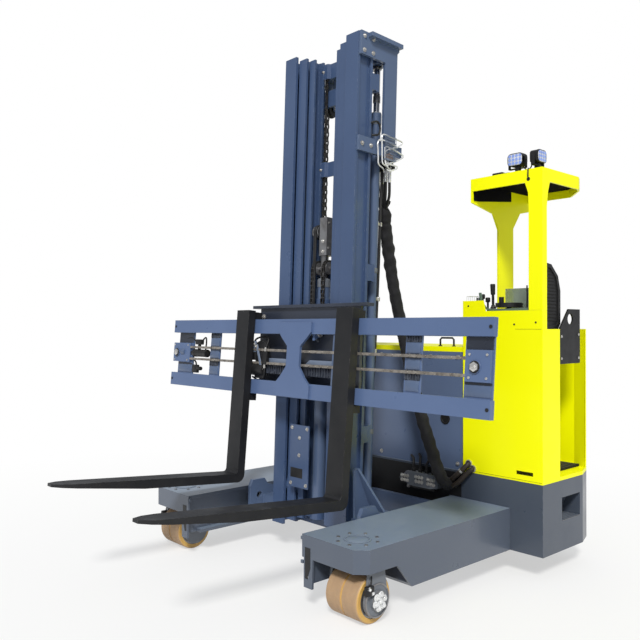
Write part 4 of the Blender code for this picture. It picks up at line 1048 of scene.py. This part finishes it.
def makeHoseTop():
    h = hoseTop
    build = Piece(onMast)
    y, radius, bar = h["y"], h["ferrule"], h["barHigh"]
    for i, x in enumerate(h["xs"]):
        drop = 0.008 * (i % 2)
        high, low = h["ferruleTop"] - drop, h["ferruleFoot"] - drop
        build.round((x, y, high), (x, y, low), radius, 24, 0.0015)
        for z in (high - 0.012, high - 0.026, high - 0.04):
            build.round((x, y, z), (x, y, z - 0.004), radius + 0.0009, 24, 0.0006)
        build.round((x, y, high + 0.012), (x, y, high - 0.001), radius + 0.0015, 6, 0.001)
        build.round((x, y, bar - 0.002), (x, y, bar + 0.016), radius + 0.001, 6, 0.001)
    build.finish("hoseFerrules", "brightSteel", "reach_mast")
    runs = []
    for i, x in enumerate(h["xs"]):
        spread = 0.0128 * (i - 1.5)
        runs.append([(x, y, h["barLow"] + 0.004), (x, y, 2.29), (x, y, 2.255)])
        runs.append([(x, y, h["ferruleFoot"] + 0.006), (x, y + 0.002, 2.165),
            (x - 0.016, y + 0.018, 2.11), (0.208 + spread, h["collarY"] - 0.006,
            h["collarZ"])])
    makeLine("topHoses", runs, h["hose"], "hoseRubber", "reach_mast", onMast)
    build = Piece(onMast)
    build.block((0.178, 0.2885, 2.262), (0.326, 0.3155, 2.282), 0.004)
    for x in (0.19, 0.2505, 0.314):
        build.block((x - 0.006, 0.2985, 2.27), (x + 0.006, 0.3045, 2.334), 0.0015)
    build.finish("hoseClampBar", "blackPlastic", "reach_mast")
    build = Piece(onMast)
    for y, side in ((0.2885, -1), (0.3155, 1)):
        build.bolts([(x, y, 2.272) for x in (0.19, 0.2215, 0.2795, 0.314)], (0, side, 0), 0.01)
    build.finish("clampBolts", "boltSteel", "reach_mast")
    # bent wire guides and the upright pipes on the bracket's outer face
    makeLine("wireGuides", [[(0.262, 0.286, 2.252), (0.305, 0.235, 2.256), (0.339, 0.16, 2.262),
        (0.342, 0.152, 2.3), (0.342, 0.149, 2.339), (0.342, 0.146, 2.378), (0.342, 0.171, 2.402),
        (0.342, 0.264, 2.397), (0.342, 0.312, 2.386)], [(0.3, 0.286, 2.266), (0.33, 0.235, 2.266),
        (0.342, 0.19, 2.272), (0.342, 0.184, 2.31), (0.342, 0.181, 2.37), (0.342, 0.18, 2.422),
        (0.342, 0.196, 2.437), (0.342, 0.263, 2.432), (0.342, 0.338, 2.428), (0.342, 0.35, 2.418),
        (0.342, 0.316, 2.392), (0.342, 0.231, 2.357), (0.339, 0.216, 2.34)], [(0.32, 0.29, 2.252),
        (0.338, 0.24, 2.256), (0.342, 0.212, 2.28), (0.342, 0.208, 2.33), (0.342, 0.21, 2.368),
        (0.342, 0.248, 2.371), (0.342, 0.326, 2.358), (0.342, 0.36, 2.348), (0.342, 0.353, 2.333),
        (0.342, 0.293, 2.3), (0.342, 0.236, 2.278)], [(0.342, 0.214, 2.29), (0.342, 0.222, 2.276),
        (0.342, 0.268, 2.277), (0.342, 0.309, 2.275), (0.342, 0.304, 2.261), (0.342, 0.253, 2.24),
        (0.338, 0.23, 2.244)]], h["wire"], "brightSteel", "reach_mast", onMast)
    # mesh box between the wires, and the valve in it
    build = Piece(onMast)
    for k in range(9):
        z = 2.304 + 0.016 * k
        build.block((0.3485, 0.2, z), (0.35, 0.292, z + 0.0022))
    for k in range(10):
        y = 0.2 + 0.0102 * k
        build.block((0.349, y, 2.3), (0.3505, y + 0.0016, 2.436))
    for low, high in ((2.296, 2.302), (2.396, 2.4)):
        build.block((0.3325, 0.2, low), (0.35, 0.292, high), 0.001)
    build.finish("guideMesh", "fittingPaint", "reach_mast", "grey_paint")
    build = Piece(onMast)
    build.block((0.333, 0.218, 2.302), (0.348, 0.272, 2.332), 0.003)
    build.round((0.34, 0.245, 2.33), (0.34, 0.245, 2.342), 0.007, 20, 0.002)
    build.finish("guideValve", "copperBlock", "reach_mast")
    # black hook on the mast's flank, and the cylinder's hose
    makeLine("flankHook", [[(0.333, 0.098, 2.482), (0.342, 0.104, 2.487), (0.343, 0.135, 2.496),
        (0.343, 0.155, 2.484), (0.343, 0.161, 2.455), (0.343, 0.15, 2.428), (0.342, 0.118, 2.416),
        (0.333, 0.108, 2.416)]], 0.0062, "hoseRubber", "reach_mast", onMast)
    makeLine("sideHose", [[(0.236, 0.318, 2.348), (0.24, 0.306, 2.3), (0.246, 0.29, 2.2),
        (0.247, 0.283, 2.05), (0.247, 0.281, 1.85), (0.245, 0.279, 1.6), (0.24, 0.276, 1.3),
        (0.228, 0.274, 1.0), (0.205, 0.272, 0.72), (0.185, 0.27, 0.56),
        (0.18, 0.268, 0.46)]], 0.0088, "hoseRubber", "reach_mast", onMast)
    build = Piece(onMast)
    for x, y, z in ((0.2462, 0.285, 1.935), (0.2475, 0.2815, 1.5), (0.238, 0.2755, 1.2)):
        build.round((x, y, z), (x, y, z + 0.024), 0.0112, 20, 0.001)
        build.block((x - 0.006, y - 0.024, z + 0.004), (x + 0.006, y - 0.004, z + 0.02), 0.001)
    build.bolts([(0.333, y, z) for y in (0.03, 0.1) for z in (2.356, 2.876, 2.955)],
        (1, 0, 0), 0.015)
    build.finish("sideHoseClips", "boltSteel", "reach_mast")
    print("hose top made")


# Valve plate and the hoses that go on to the cabin.
def makeValveParts():
    build = Piece()
    build.bolts([(x + dx, 1.0, z + dz) for x, z in ((0.205, 0.424), (0.315, 0.428),
        (0.405, 0.426)) for dx in (-0.022, 0.0, 0.022) for dz in (-0.012, 0.014)],
        (0, -1, 0), 0.014)
    build.finish("valveNuts", "boltSteel", "truck")
    build = Piece()
    for x in (0.25, 0.3, 0.35, 0.4):
        build.round((x, 1.03, 0.464), (x, 1.03, 0.486), 0.012, 20, 0.002)
        build.round((x, 1.03, 0.484), (x, 1.03, 0.496), 0.007, 6, 0.001)
    build.block((0.24, 1.012, 0.372), (0.42, 1.055, 0.391), 0.003)
    build.finish("valveSpools", "blackPlastic", "truck")
    makeLine("valveHoses", [[(0.25, 1.03, 0.49), (0.25, 1.03, 0.52), (0.235, 1.045, 0.545),
        (0.21, 1.058, 0.552), (0.2, 1.069, 0.552)], [(0.3, 1.03, 0.49), (0.3, 1.03, 0.53),
        (0.29, 1.045, 0.558), (0.27, 1.06, 0.566), (0.262, 1.069, 0.566)], [(0.35, 1.03, 0.49),
        (0.35, 1.032, 0.52), (0.362, 1.045, 0.548), (0.38, 1.06, 0.556),
        (0.385, 1.069, 0.556)]], 0.0078, "hoseRubber", "truck")
    makeLine("cabinHoses", [[(0.52, 1.04, 0.452), (0.545, 1.03, 0.47), (0.58, 1.028, 0.5),
        (0.612, 1.04, 0.535), (0.628, 1.056, 0.556), (0.63, 1.07, 0.562)], [(0.52, 1.046, 0.42),
        (0.552, 1.034, 0.43), (0.592, 1.03, 0.462), (0.63, 1.04, 0.505), (0.654, 1.056, 0.53),
        (0.657, 1.07, 0.536)]], 0.015, "brownHose", "truck")
    # black sheet behind the valves, round the reach cylinder: painted shade standing in for the
    # dark cavity there
    build = Piece()
    for x0, x1, z0, z1 in ((0.06, 0.49, 0.17, 0.5), (-0.49, -0.06, 0.17, 0.5),
            (-0.06, 0.06, 0.292, 0.5), (0.49, 0.575, 0.362, 0.5), (-0.575, -0.49, 0.362, 0.5)):
        build.block((x0, 1.064, z0), (x1, 1.0665, z1))
    build.finish("bellyPanel", "blackPlastic", "truck")
    makeLine("valveHook", [[(0.2, 1.04, 0.365), (0.212, 1.036, 0.388), (0.24, 1.03, 0.4),
        (0.32, 1.03, 0.397)]], 0.0115, "castSteel", "truck")
    build = Piece()
    build.turned((0.5975, 1.0335, 0.518), (0.42, 0.14, 0.42), [(0.0146, -0.006), (0.017, -0.006),
        (0.017, 0.006), (0.0146, 0.006)], 24)
    for x, z in ((0.63, 0.562), (0.657, 0.536)):
        build.turned((x, 1.0625, z), (0, 1, 0), [(0.0146, -0.004), (0.021, -0.004),
            (0.021, 0.0045), (0.0146, 0.0045)], 24)
    build.finish("hoseClamps", "boltSteel", "truck")
    print("valve parts made")


# Wheel legs and front wheels.
legParts = {
    "ringRadius": 0.098, "top": 0.358, "hubBolt": 0.0185, "hubRing": 0.03,
    "hubFace": 0.124, "hubCap": 0.138,
}


def circle(count, radius, first=0.0):
    # even places round a circle
    return [(radius * math.cos(a), radius * math.sin(a))
            for a in [first + 2 * math.pi * k / count for k in range(count)]]


def makeLegParts():
    wheelX, wheelY, wheelZ = (truckLayout[k] for k in ("wheelX", "wheelY", "wheelRadius"))
    top, bolt = legParts["top"], legParts["hubBolt"]
    for side, word in mirrored:
        build = Piece()
        centre = (side * wheelX, wheelY, top)
        build.turned(centre, (0, 0, 1), [(0.056, -0.002), (0.0645, -0.002), (0.0645, 0.0022),
            (0.0625, 0.003), (0.0575, 0.003), (0.056, 0.0018)], 56)
        build.turned(centre, (0, 0, 1), [(0.0, -0.001), (0.052, -0.001), (0.052, 0.0012),
            (0.05, 0.0018), (0.0, 0.0018)], 48)
        build.block((side * 0.503 - 0.001, 0.2, 0.352), (side * 0.503 + 0.001, 0.26, 0.3583))
        build.finish("pivotCap" + word, "legPaint", "truck")
        ring = [(side * wheelX + u, wheelY + v)
                for u, v in circle(8, legParts["ringRadius"], math.pi / 8)]
        build = Piece()
        for x, y in ring:
            build.turned((x, y, top), (0, 0, 1), [(0.0038, -0.001), (0.0085, -0.001),
                (0.0085, 0.003), (0.0078, 0.0038), (0.0038, 0.0038)], 18)
        build.finish("pivotBolts" + word, "castSteel", "truck")
        build = Piece()
        for x, y in ring:
            build.round((x, y, top - 0.001), (x, y, top + 0.0012), 0.0042, 6)
        build.finish("pivotSockets" + word, "blackPlastic", "truck")
        # small lugs on the inner edge of the front plate
        build = Piece()
        x0, x1 = sorted((side * 0.489, side * 0.505))
        for z in (0.345, 0.232):
            build.block((x0, -0.083, z - 0.016), (x1, -0.072, z), 0.002)
        build.finish("legLugs" + word, "legPaint", "truck")
        # black sheet of the slot's shape on the front plate: painted shade of the slot's dark
        # inside
        build = Piece()
        build.outline("y", [(side * x, z) for x, z in ((0.524, 0.3), (0.562, 0.3),
            (0.562, 0.205), (0.54, 0.152), (0.524, 0.152))], -0.0858, -0.0846)
        build.finish("slotLiner" + word, "blackPlastic", "truck")
        # hub face
        out, steer = (side, 0, 0), "steer_" + word.lower()
        x0 = side * (wheelX + legParts["hubFace"])
        x1 = side * (wheelX + legParts["hubCap"])
        build = Piece()
        build.turned((x0, wheelY, wheelZ), out, [(0.0695, -0.001), (0.0775, -0.001),
            (0.0775, 0.0022), (0.0765, 0.0032), (0.0705, 0.0032), (0.0695, 0.0022)], 56)
        build.turned((x1, wheelY, wheelZ), out, [(0.0395, -0.001), (0.0455, -0.001),
            (0.0455, 0.0012), (0.0445, 0.002), (0.0405, 0.002), (0.0395, 0.0012)], 48)
        build.finish("hubRings" + word, "castSteel", steer)
        build = Piece()
        build.bolts([(x1, wheelY + u, wheelZ + v)
            for u, v in [(0.0, 0.0), *circle(6, legParts["hubRing"], 0.26)]], out, bolt)
        build.bolts([(x0 + side * 0.02, wheelY + u, wheelZ + v)
            for u, v in ((-0.072, 0.07), (-0.052, 0.05))], out, 0.0125)
        build.finish("hubBolts" + word, "brightSteel", steer)
        build = Piece()
        low, high = sorted((x0 - side * 0.001, x0 + side * 0.024))
        build.block((low, wheelY - 0.086, wheelZ + 0.038), (high - 0.002 if side > 0 else high,
            wheelY - 0.04, wheelZ + 0.082), 0.005)
        build.finish("wheelSensor" + word, "blackPlastic", steer)
        makeLine("sensorLead" + word, [[(x0 + side * u, wheelY + v, wheelZ + w)
            for u, v, w in ((0.012, -0.056, 0.08), (0.012, -0.052, 0.096),
            (0.002, -0.04, 0.112), (-0.01, -0.034, 0.121))]], 0.0035, "hoseRubber", steer)
    print("leg parts made")


# Cabin, guard, lamps and the operator's controls.
cabinParts = {
    "roofTop": 2.184, "frontY": 1.067,
    # middle of each lamp, half its width on the low side, and whether it looks sideways
    "lamps": {"Front": (0.93, 1.1, 2.25, 0.05, False), "Side": (1.03, 1.13, 2.255, 0.045, True)},
}


def roundedOutline(u0, u1, v0, v1, radius, steps=5):
    points = []
    for u, v, first in ((u1 - radius, v1 - radius, 0), (u0 + radius, v1 - radius, 90),
            (u0 + radius, v0 + radius, 180), (u1 - radius, v0 + radius, 270)):
        for k in range(steps):
            a = math.radians(first + 90 * k / (steps - 1))
            points.append((u + radius * math.cos(a), v + radius * math.sin(a)))
    return points


def makeLamp(word, x, y, z, lowSide, sideways):
    # along and across its face; the frame stands 5 mm out at each end
    along, across, sign = (y, x, 1) if sideways else (x, y, -1)
    low, high = along - lowSide, along + 0.045
    frameLow, frameHigh, face = low - 0.005, high + 0.005, across + sign * 0.025

    def at(u, v, w):
        return (v, u, w) if sideways else (u, v, w)

    def layer(name, finish, inset, start, end, bevel):
        outline = roundedOutline(low + inset, high - inset, z - 0.035 + inset,
            z + 0.035 - inset, 0.022 - inset * 0.6)
        build = Piece()
        build.outline("x" if sideways else "y", outline,
            *sorted((face + sign * start, face + sign * end)), bevel)
        build.finish(name + word, finish, "truck")

    layer("lampRim", "blackPlastic", 0.0, -0.012, 0.003, 0.0015)
    layer("lampLens", "lampFace", 0.005, 0.0022, 0.0042, 0.0008)
    cups = Piece()
    for i in range(4):
        for j in range(3):
            u = low + 0.016 + (high - low - 0.032) * i / 3
            cups.turned(at(u, face + sign * 0.0042, z - 0.02 + 0.04 * j / 2), at(0, sign, 0),
                [(0.0, 0.0), (0.0085, 0.0), (0.0085, 0.001), (0.0062, 0.001),
                (0.003, 0.0004), (0.0, 0.0004)], 16)
    cups.finish("lampCups" + word, "lampCup", "truck")
    fins = Piece()
    v0, v1 = sorted((across - sign * 0.027, across - sign * 0.019))
    for k in range(5):
        u = low + 0.014 + (high - low - 0.028) * k / 4
        fins.block(at(u - 0.002, v0, z - 0.026), at(u + 0.002, v1, z + 0.026), 0.0008)
    v0, v1 = across - 0.011, across + 0.011
    fins.block(at(frameLow, v0, z - 0.048), at(frameHigh, v1, z - 0.043), 0.001)
    for u in (frameLow, frameHigh - 0.004):
        fins.block(at(u, v0, z - 0.048), at(u + 0.004, v1, z + 0.006), 0.001)
    for u in (frameLow + 0.001, frameHigh - 0.007):
        fins.round(at(u, across, z), at(u + 0.006, across, z), 0.008, 6, 0.001)
    fins.finish("lampFins" + word, "blackPlastic", "truck")


def makeLamps():
    for word, place in cabinParts["lamps"].items():
        makeLamp(word, *place)
    makeLine("lampLead", [[(0.93, 1.126, 2.235), (0.955, 1.128, 2.205), (0.985, 1.1, 2.19),
        (1.005, 1.08, 2.189), (1.012, 1.066, 2.186), (1.0125, 1.0625, 2.165),
        (1.013, 1.0625, 2.14), (1.013, 1.07, 2.131)], [(1.006, 1.13, 2.24), (0.992, 1.125, 2.205),
        (0.99, 1.105, 2.191)]], 0.0034, "hoseRubber", "truck")
    print("lamps made")


def makeGuardParts():
    front, top = cabinParts["frontY"], cabinParts["roofTop"]
    # dark foam band on the inner face of the guard's side
    build = Piece()
    build.outline("x", [(1.08, 2.164), (1.08, 2.062), (1.12, 2.062), (1.46, 2.1),
        (1.46, 2.164)], 0.6525, 0.6575, 0.002)
    build.finish("roofFoam", "dullFoam", "truck")
    # grommet, screws and the small box on the roof
    build = Piece()
    build.turned((1.013, front, 2.131), (0, -1, 0), [(0.003, -0.001), (0.01, -0.001),
        (0.01, 0.0018), (0.008, 0.003), (0.003, 0.003)], 24)
    for x, z in ((0.925, 1.355), (1.055, 1.365), (0.625, 1.352), (0.625, 1.46)):
        build.round((x, front + 0.001, z), (x, front - 0.0018, z), 0.0055, 20, 0.0008)
    build.block((0.78, 1.075, top - 0.001), (0.845, 1.105, top + 0.013), 0.003)
    build.block((0.845, 1.082, top - 0.001), (0.885, 1.098, top + 0.006), 0.002)
    for x in (0.7, 0.9, 1.03):
        for y in (1.3, 1.5):
            build.round((x, y, top - 0.001), (x, y, top + 0.003), 0.009, 20, 0.001)
    build.finish("guardScrews", "blackPlastic", "truck")
    # fold line below the front post and seams of the front panel
    build = Piece()
    for x, z in ((0.93, 1.3285), (0.6, 0.5205)):
        build.block((x, front - 0.0006, z), (1.088, front + 0.0004, z + 0.002))
    build.finish("panelSeams", "seamPaint", "truck")
    # bolts through the guard's foot and door-side frame
    build = Piece()
    for x, heights, side in ((0.5933, (1.28, 1.315), -1), (0.652, (1.36, 1.41), 1)):
        build.bolts([(x, y, z) for y in (1.36, 1.455) for z in heights], (side, 0, 0), 0.016)
    build.finish("guardBolts", "boltSteel", "truck")
    # trim along the cut edge of the entrance and a ribbed pad web
    build = Piece()
    for k in range(16):
        z = 1.375 + 0.0178 * k
        low = 1.139 if z < 1.66 else 1.15
        high = 1.262 if z < 1.58 else 1.235
        for x in (1.061, 1.0495):
            build.block((x, low, z - 0.004), (x + 0.0045, high, z + 0.004), 0.0012)
    build.finish("padRibs", "blackRubber", "truck")
    build = Piece()
    for z in (1.36, 1.5, 1.63):
        build.block((1.0425, 1.112, z - 0.018), (1.045, 1.15, z + 0.018), 0.001)
        build.round((1.0395, 1.13, z), (1.043, 1.13, z), 0.007, 6, 0.001)
    for y, z in ((1.262, 1.17), (1.262, 1.29), (1.448, 1.17), (1.448, 1.3)):
        build.round((1.093, y, z), (1.0975, y, z), 0.008, 6, 0.001)
    build.finish("padClamps", "boltSteel", "truck")
    # treads of the step and studs on the mat
    build = Piece()
    for i in range(11):
        for j in range(15):
            x, y = 0.625 + 0.035 * i, 1.105 + 0.0355 * j
            build.round((x, y, 0.5395), (x, y, 0.5422), 0.0085, 8)
    build.finish("matStuds", "blackRubber", "truck")
    build = Piece()
    for k in range(6):
        x = 1.0 + 0.018 * k
        build.block((x, 1.266, 0.2915), (x + 0.006, 1.455, 0.2945), 0.001)
    build.finish("stepTreads", "castSteel", "truck")
    print("guard parts made")


def makeControls():
    # sloping panel in front of the operator
    build = Piece()
    build.outline("x", [(1.084, 1.4153), (1.084, 1.436), (1.096, 1.444), (1.19, 1.43),
        (1.19, 1.4153)], 0.775, 0.985, 0.003)
    build.finish("controlPanel", "greenPlastic", "truck")
    # clear bowl in the opening of the cabin's front
    build = Piece()
    build.outline("y", [(0.69, 1.535), (0.697, 1.478), (0.728, 1.444), (0.765, 1.427),
        (1.008, 1.427), (1.008, 1.44), (0.774, 1.44), (0.742, 1.452), (0.716, 1.482),
        (0.708, 1.535)], 1.0745, 1.0785, 0.001)
    build.finish("bowlRim", "greenPlastic", "truck")
    build = Piece()
    for x, top in ((0.635, 1.502), (0.665, 1.522), (0.7, 1.502)):
        build.round((x, 1.15, top - 0.02), (x, 1.15, top + 0.008), 0.0135, 20, 0.005)
    # joystick: bellows, stalk and grip
    for k in range(5):
        z = 1.4155 + 0.01 * k
        build.turned((0.752, 1.125, z), (0, 0, 1), [(0.004, 0.0), (0.03 - 0.0045 * k, 0.0),
            (0.028 - 0.0045 * k, 0.009), (0.004, 0.0095)], 24)
    build.round((0.752, 1.125, 1.46), (0.753, 1.122, 1.53), 0.0075, 16, 0.001)
    build.round((0.753, 1.122, 1.522), (0.754, 1.118, 1.584), 0.0125, 20, 0.005, 0.0145)
    build.finish("controlKnobs", "blackPlastic", "truck")
    build = Piece()
    build.block((0.605, 1.0745, 1.4152), (0.725, 1.15, 1.419), 0.001)
    build.finish("controlPlates", "castSteel", "truck")
    # small wire basket beside the levers
    basket = [[(x, y, z) for x, y in ((0.604, 1.082), (0.656, 1.082), (0.656, 1.118),
        (0.604, 1.118), (0.604, 1.082))] for z in (1.424, 1.47, 1.516)]
    basket += [[(x, y, 1.424), (x, y, 1.516)] for x, y in ((0.604, 1.082), (0.617, 1.082),
        (0.63, 1.082), (0.643, 1.082), (0.656, 1.082), (0.656, 1.1), (0.656, 1.118))]
    makeLine("leverBasket", basket, 0.0016, "whitePlastic", "truck", onTruck, 1)
    makeLine("controlLever", [[(0.965, 1.13, 1.448), (0.972, 1.12, 1.505),
        (0.978, 1.108, 1.566)]], 0.004, "hoseRubber", "truck")
    # screen clips
    build = Piece()
    for x in (0.785, 0.975):
        build.block((x - 0.014, 1.228, 1.402), (x + 0.014, 1.25, 1.428), 0.002)
        build.round((x, 1.226, 1.414), (x, 1.229, 1.414), 0.006, 6, 0.001)
    build.finish("screenClips", "blackPlastic", "truck")
    print("controls made")


# Battery box, chassis and what shows at the rear.
def makeBodyParts():
    # closing sheets in the step of the battery box's rear left corner
    build = Piece()
    build.block((-1.0795, 1.56, 0.512), (-0.8995, 1.5695, 1.1945), 0.001)
    build.block((-0.9, 1.561, 0.512), (-0.8925, 1.613, 1.1945), 0.001)
    build.finish("cornerSheets", "boxPaint", "truck")
    # pressed louvres on the rear and the left side of the battery box
    build = Piece()
    for k in range(9):
        z = 0.66 + 0.03 * k
        for axis, wall, side, low, high in (("x", 1.6185, 1, -0.7, -0.42),
                ("x", 1.6185, 1, -0.02, 0.26), ("y", -1.0785, -1, 1.2, 1.44)):
            build.outline(axis, [(wall, z), (wall + side * 0.009, z + 0.004),
                (wall + side * 0.009, z + 0.008), (wall, z + 0.018)], low, high, 0.0012)
    build.finish("batteryLouvres", "slatePaint", "truck")
    build = Piece()
    for y, side in ((1.62, 1), (1.08, -1)):
        build.bolts([(x, y, z) for x in (-0.86, -0.46, -0.06, 0.34, 0.54)
            for z in (0.545, 1.165)], (0, side, 0), 0.015)
    for x in (-0.6, -0.2, 0.2):
        build.round((x - 0.035, 1.6235, 1.206), (x + 0.035, 1.6235, 1.206), 0.0075, 16, 0.001)
    build.finish("batteryBolts", "boltSteel", "truck")
    # catch and lifting eyes
    build = Piece()
    build.block((-0.3, 1.0765, 1.1), (-0.24, 1.0805, 1.17), 0.002)
    build.block((-0.285, 1.0725, 1.115), (-0.255, 1.0775, 1.155), 0.002)
    for x in (-0.8, 0.45):
        build.turned((x, 1.0795, 0.8), (0, -1, 0), [(0.024, -0.001), (0.034, -0.001),
            (0.034, 0.003), (0.031, 0.0045), (0.026, 0.0045), (0.024, 0.003)], 32)
        build.round((x, 1.0805, 0.8), (x, 1.079, 0.8), 0.0245, 32)
    build.finish("batteryCatches", "blackPlastic", "truck")
    build = Piece()
    for x in (0.375, 0.475):
        build.turned((x, 1.13, 1.2252), (0, 0, 1), [(0.0058, -0.001), (0.013, -0.001),
            (0.013, 0.0025), (0.0105, 0.005), (0.0058, 0.005)], 24)
    build.finish("handleFeet", "blackPlastic", "battery_cover")
    # reach cylinder's gland, carriage bolts and roller hubs
    build = Piece()
    build.turned((0.0, 1.031, 0.245), (0, 1, 0), [(0.0262, -0.014), (0.0395, -0.014),
        (0.0395, 0.004), (0.0262, 0.004)], 36)
    build.finish("reachGland", "castSteel", "truck")
    build = Piece()
    for side in (1, -1):
        for y in (0.62, 0.945):
            build.turned((side * 0.5375, y, 0.245), (side, 0, 0), [(0.0, -0.001), (0.062, -0.001),
                (0.062, 0.0015), (0.058, 0.0025), (0.026, 0.0025), (0.022, 0.0045),
                (0.0, 0.0045)], 40)
            build.bolt((side * 0.4605, y, 0.245), (-side, 0, 0), 0.022)
        build.bolts([(side * x, 0.43, 0.235) for x in (0.36, 0.43)], (0, -1, 0), 0.02)
        build.turned((side * 0.485, 0.4, 0.3), (side, 0, 0), [(0.0185, -0.001), (0.03, -0.001),
            (0.03, 0.003), (0.028, 0.004), (0.0185, 0.004)], 32)
    build.bolts([(x, 0.59, 0.235) for x in (-0.4, -0.2, 0.0, 0.2, 0.4)], (0, -1, 0), 0.02)
    build.finish("reachBolts", "boltSteel", "reach_mast")
    # bolts of the drive motor and of the rear wheels' hubs
    build = Piece()
    for u, v in circle(12, 0.168):
        build.round((-0.45 + u, 1.36 + v, 0.352), (-0.45 + u, 1.36 + v, 0.346), 0.008, 6, 0.001)
    build.bolts([(-0.6, 1.36 + u, 0.2 + v) for u, v in circle(6, 0.045)], (-1, 0, 0), 0.014)
    build.finish("driveBolts", "boltSteel", "drive_turntable")
    for word, x, y, z, ring, size in (("drive", -0.384, 1.36, 0.1715, 0.075, 0.019),
            ("caster", 0.666, 1.39, 0.1, 0.035, 0.011)):
        build = Piece()
        build.bolts([(x, y + u, z + v) for u, v in circle(6, ring)], (1, 0, 0), size)
        build.finish(word + "HubBolts", "boltSteel", word + "_wheel")
    print("body parts made")


# Floor, light and background.
studioLook = {
    "floor": (0.86, 0.86, 0.855), "sunStrength": 2.95, "sunFrom": (0.50, -0.56, 0.66),
    "sunSoftness": 11.0, "worldStrength": 0.50, "floorGlow": 0.55,
    "fadeFrom": 1.6, "fadeTo": 4.2,
}


def makeFloor():
    bpy.ops.mesh.primitive_plane_add(size=60.0, location=(0.0, 0.0, -0.0006))
    floor = bpy.context.object
    floor.name = "studioFloor"
    f = Finish("studioFloorFinish")
    f.set(BaseColor=(*studioLook["floor"], 1.0), Roughness=0.9)
    paths = f.add("LightPath", {}).outputs
    mirrors = f.maths("MAXIMUM", paths["Is Glossy Ray"], paths["Is Transmission Ray"])
    seen = f.maths("MAXIMUM", paths["Is Camera Ray"], mirrors)
    distance = f.add("VectorMath", {0: f.coords()}, operation="LENGTH").outputs["Value"]
    fade = f.remap(distance, studioLook["fadeFrom"], studioLook["fadeTo"],
                   studioLook["floorGlow"], 1.0)
    glow = f.add("Emission", {"Strength": 1.0}).outputs["Emission"]
    blend = f.add("MixShader", {0: f.times(seen, fade), 1: f.shader.outputs["BSDF"], 2: glow})
    plug(f.tree, f.output, {"Surface": blend.outputs["Shader"]})
    floor.data.materials.append(f.material)


def makeStudio():
    scene = bpy.context.scene
    makeFloor()
    world = bpy.data.worlds.new("studioWorld")
    scene.world = world
    world.use_nodes = True
    tree = world.node_tree
    sky = tree.nodes["Background"]
    plug(tree, sky, {"Color": (0.93, 0.96, 1.0, 1.0),
                     "Strength": studioLook["worldStrength"]})
    white = addNode(tree, "Background", {"Color": (1.0, 1.0, 1.0, 1.0), "Strength": 1.0})
    paths = addNode(tree, "LightPath", {})
    blend = addNode(tree, "MixShader", {0: paths.outputs["Is Camera Ray"],
                                        1: sky.outputs["Background"],
                                        2: white.outputs["Background"]})
    plug(tree, tree.nodes["World Output"], {"Surface": blend.outputs["Shader"]})

    sunData = bpy.data.lights.new("studioSun", "SUN")
    sunData.energy = studioLook["sunStrength"]
    sunData.angle = math.radians(studioLook["sunSoftness"])
    sunData.color = (1.0, 0.985, 0.95)
    sun = bpy.data.objects.new("studioSun", sunData)
    direction = Vector(studioLook["sunFrom"]).normalized()
    sun.rotation_euler = direction.to_track_quat("Z", "Y").to_euler()
    scene.collection.objects.link(sun)
    scene.view_settings.view_transform = "Standard"
    print("studio made")


addCamera()
makeFinishes()
makeSleeve()
dressNodes()
makeLiftChains()
makeWheelHoses()
makeTopSheave()
makeOuterChains()
makeMastFittings()
makeFrameFittings()
makeHoseTop()
makeValveParts()
makeLegParts()
makeLamps()
makeGuardParts()
makeControls()
makeBodyParts()
makeStudio()
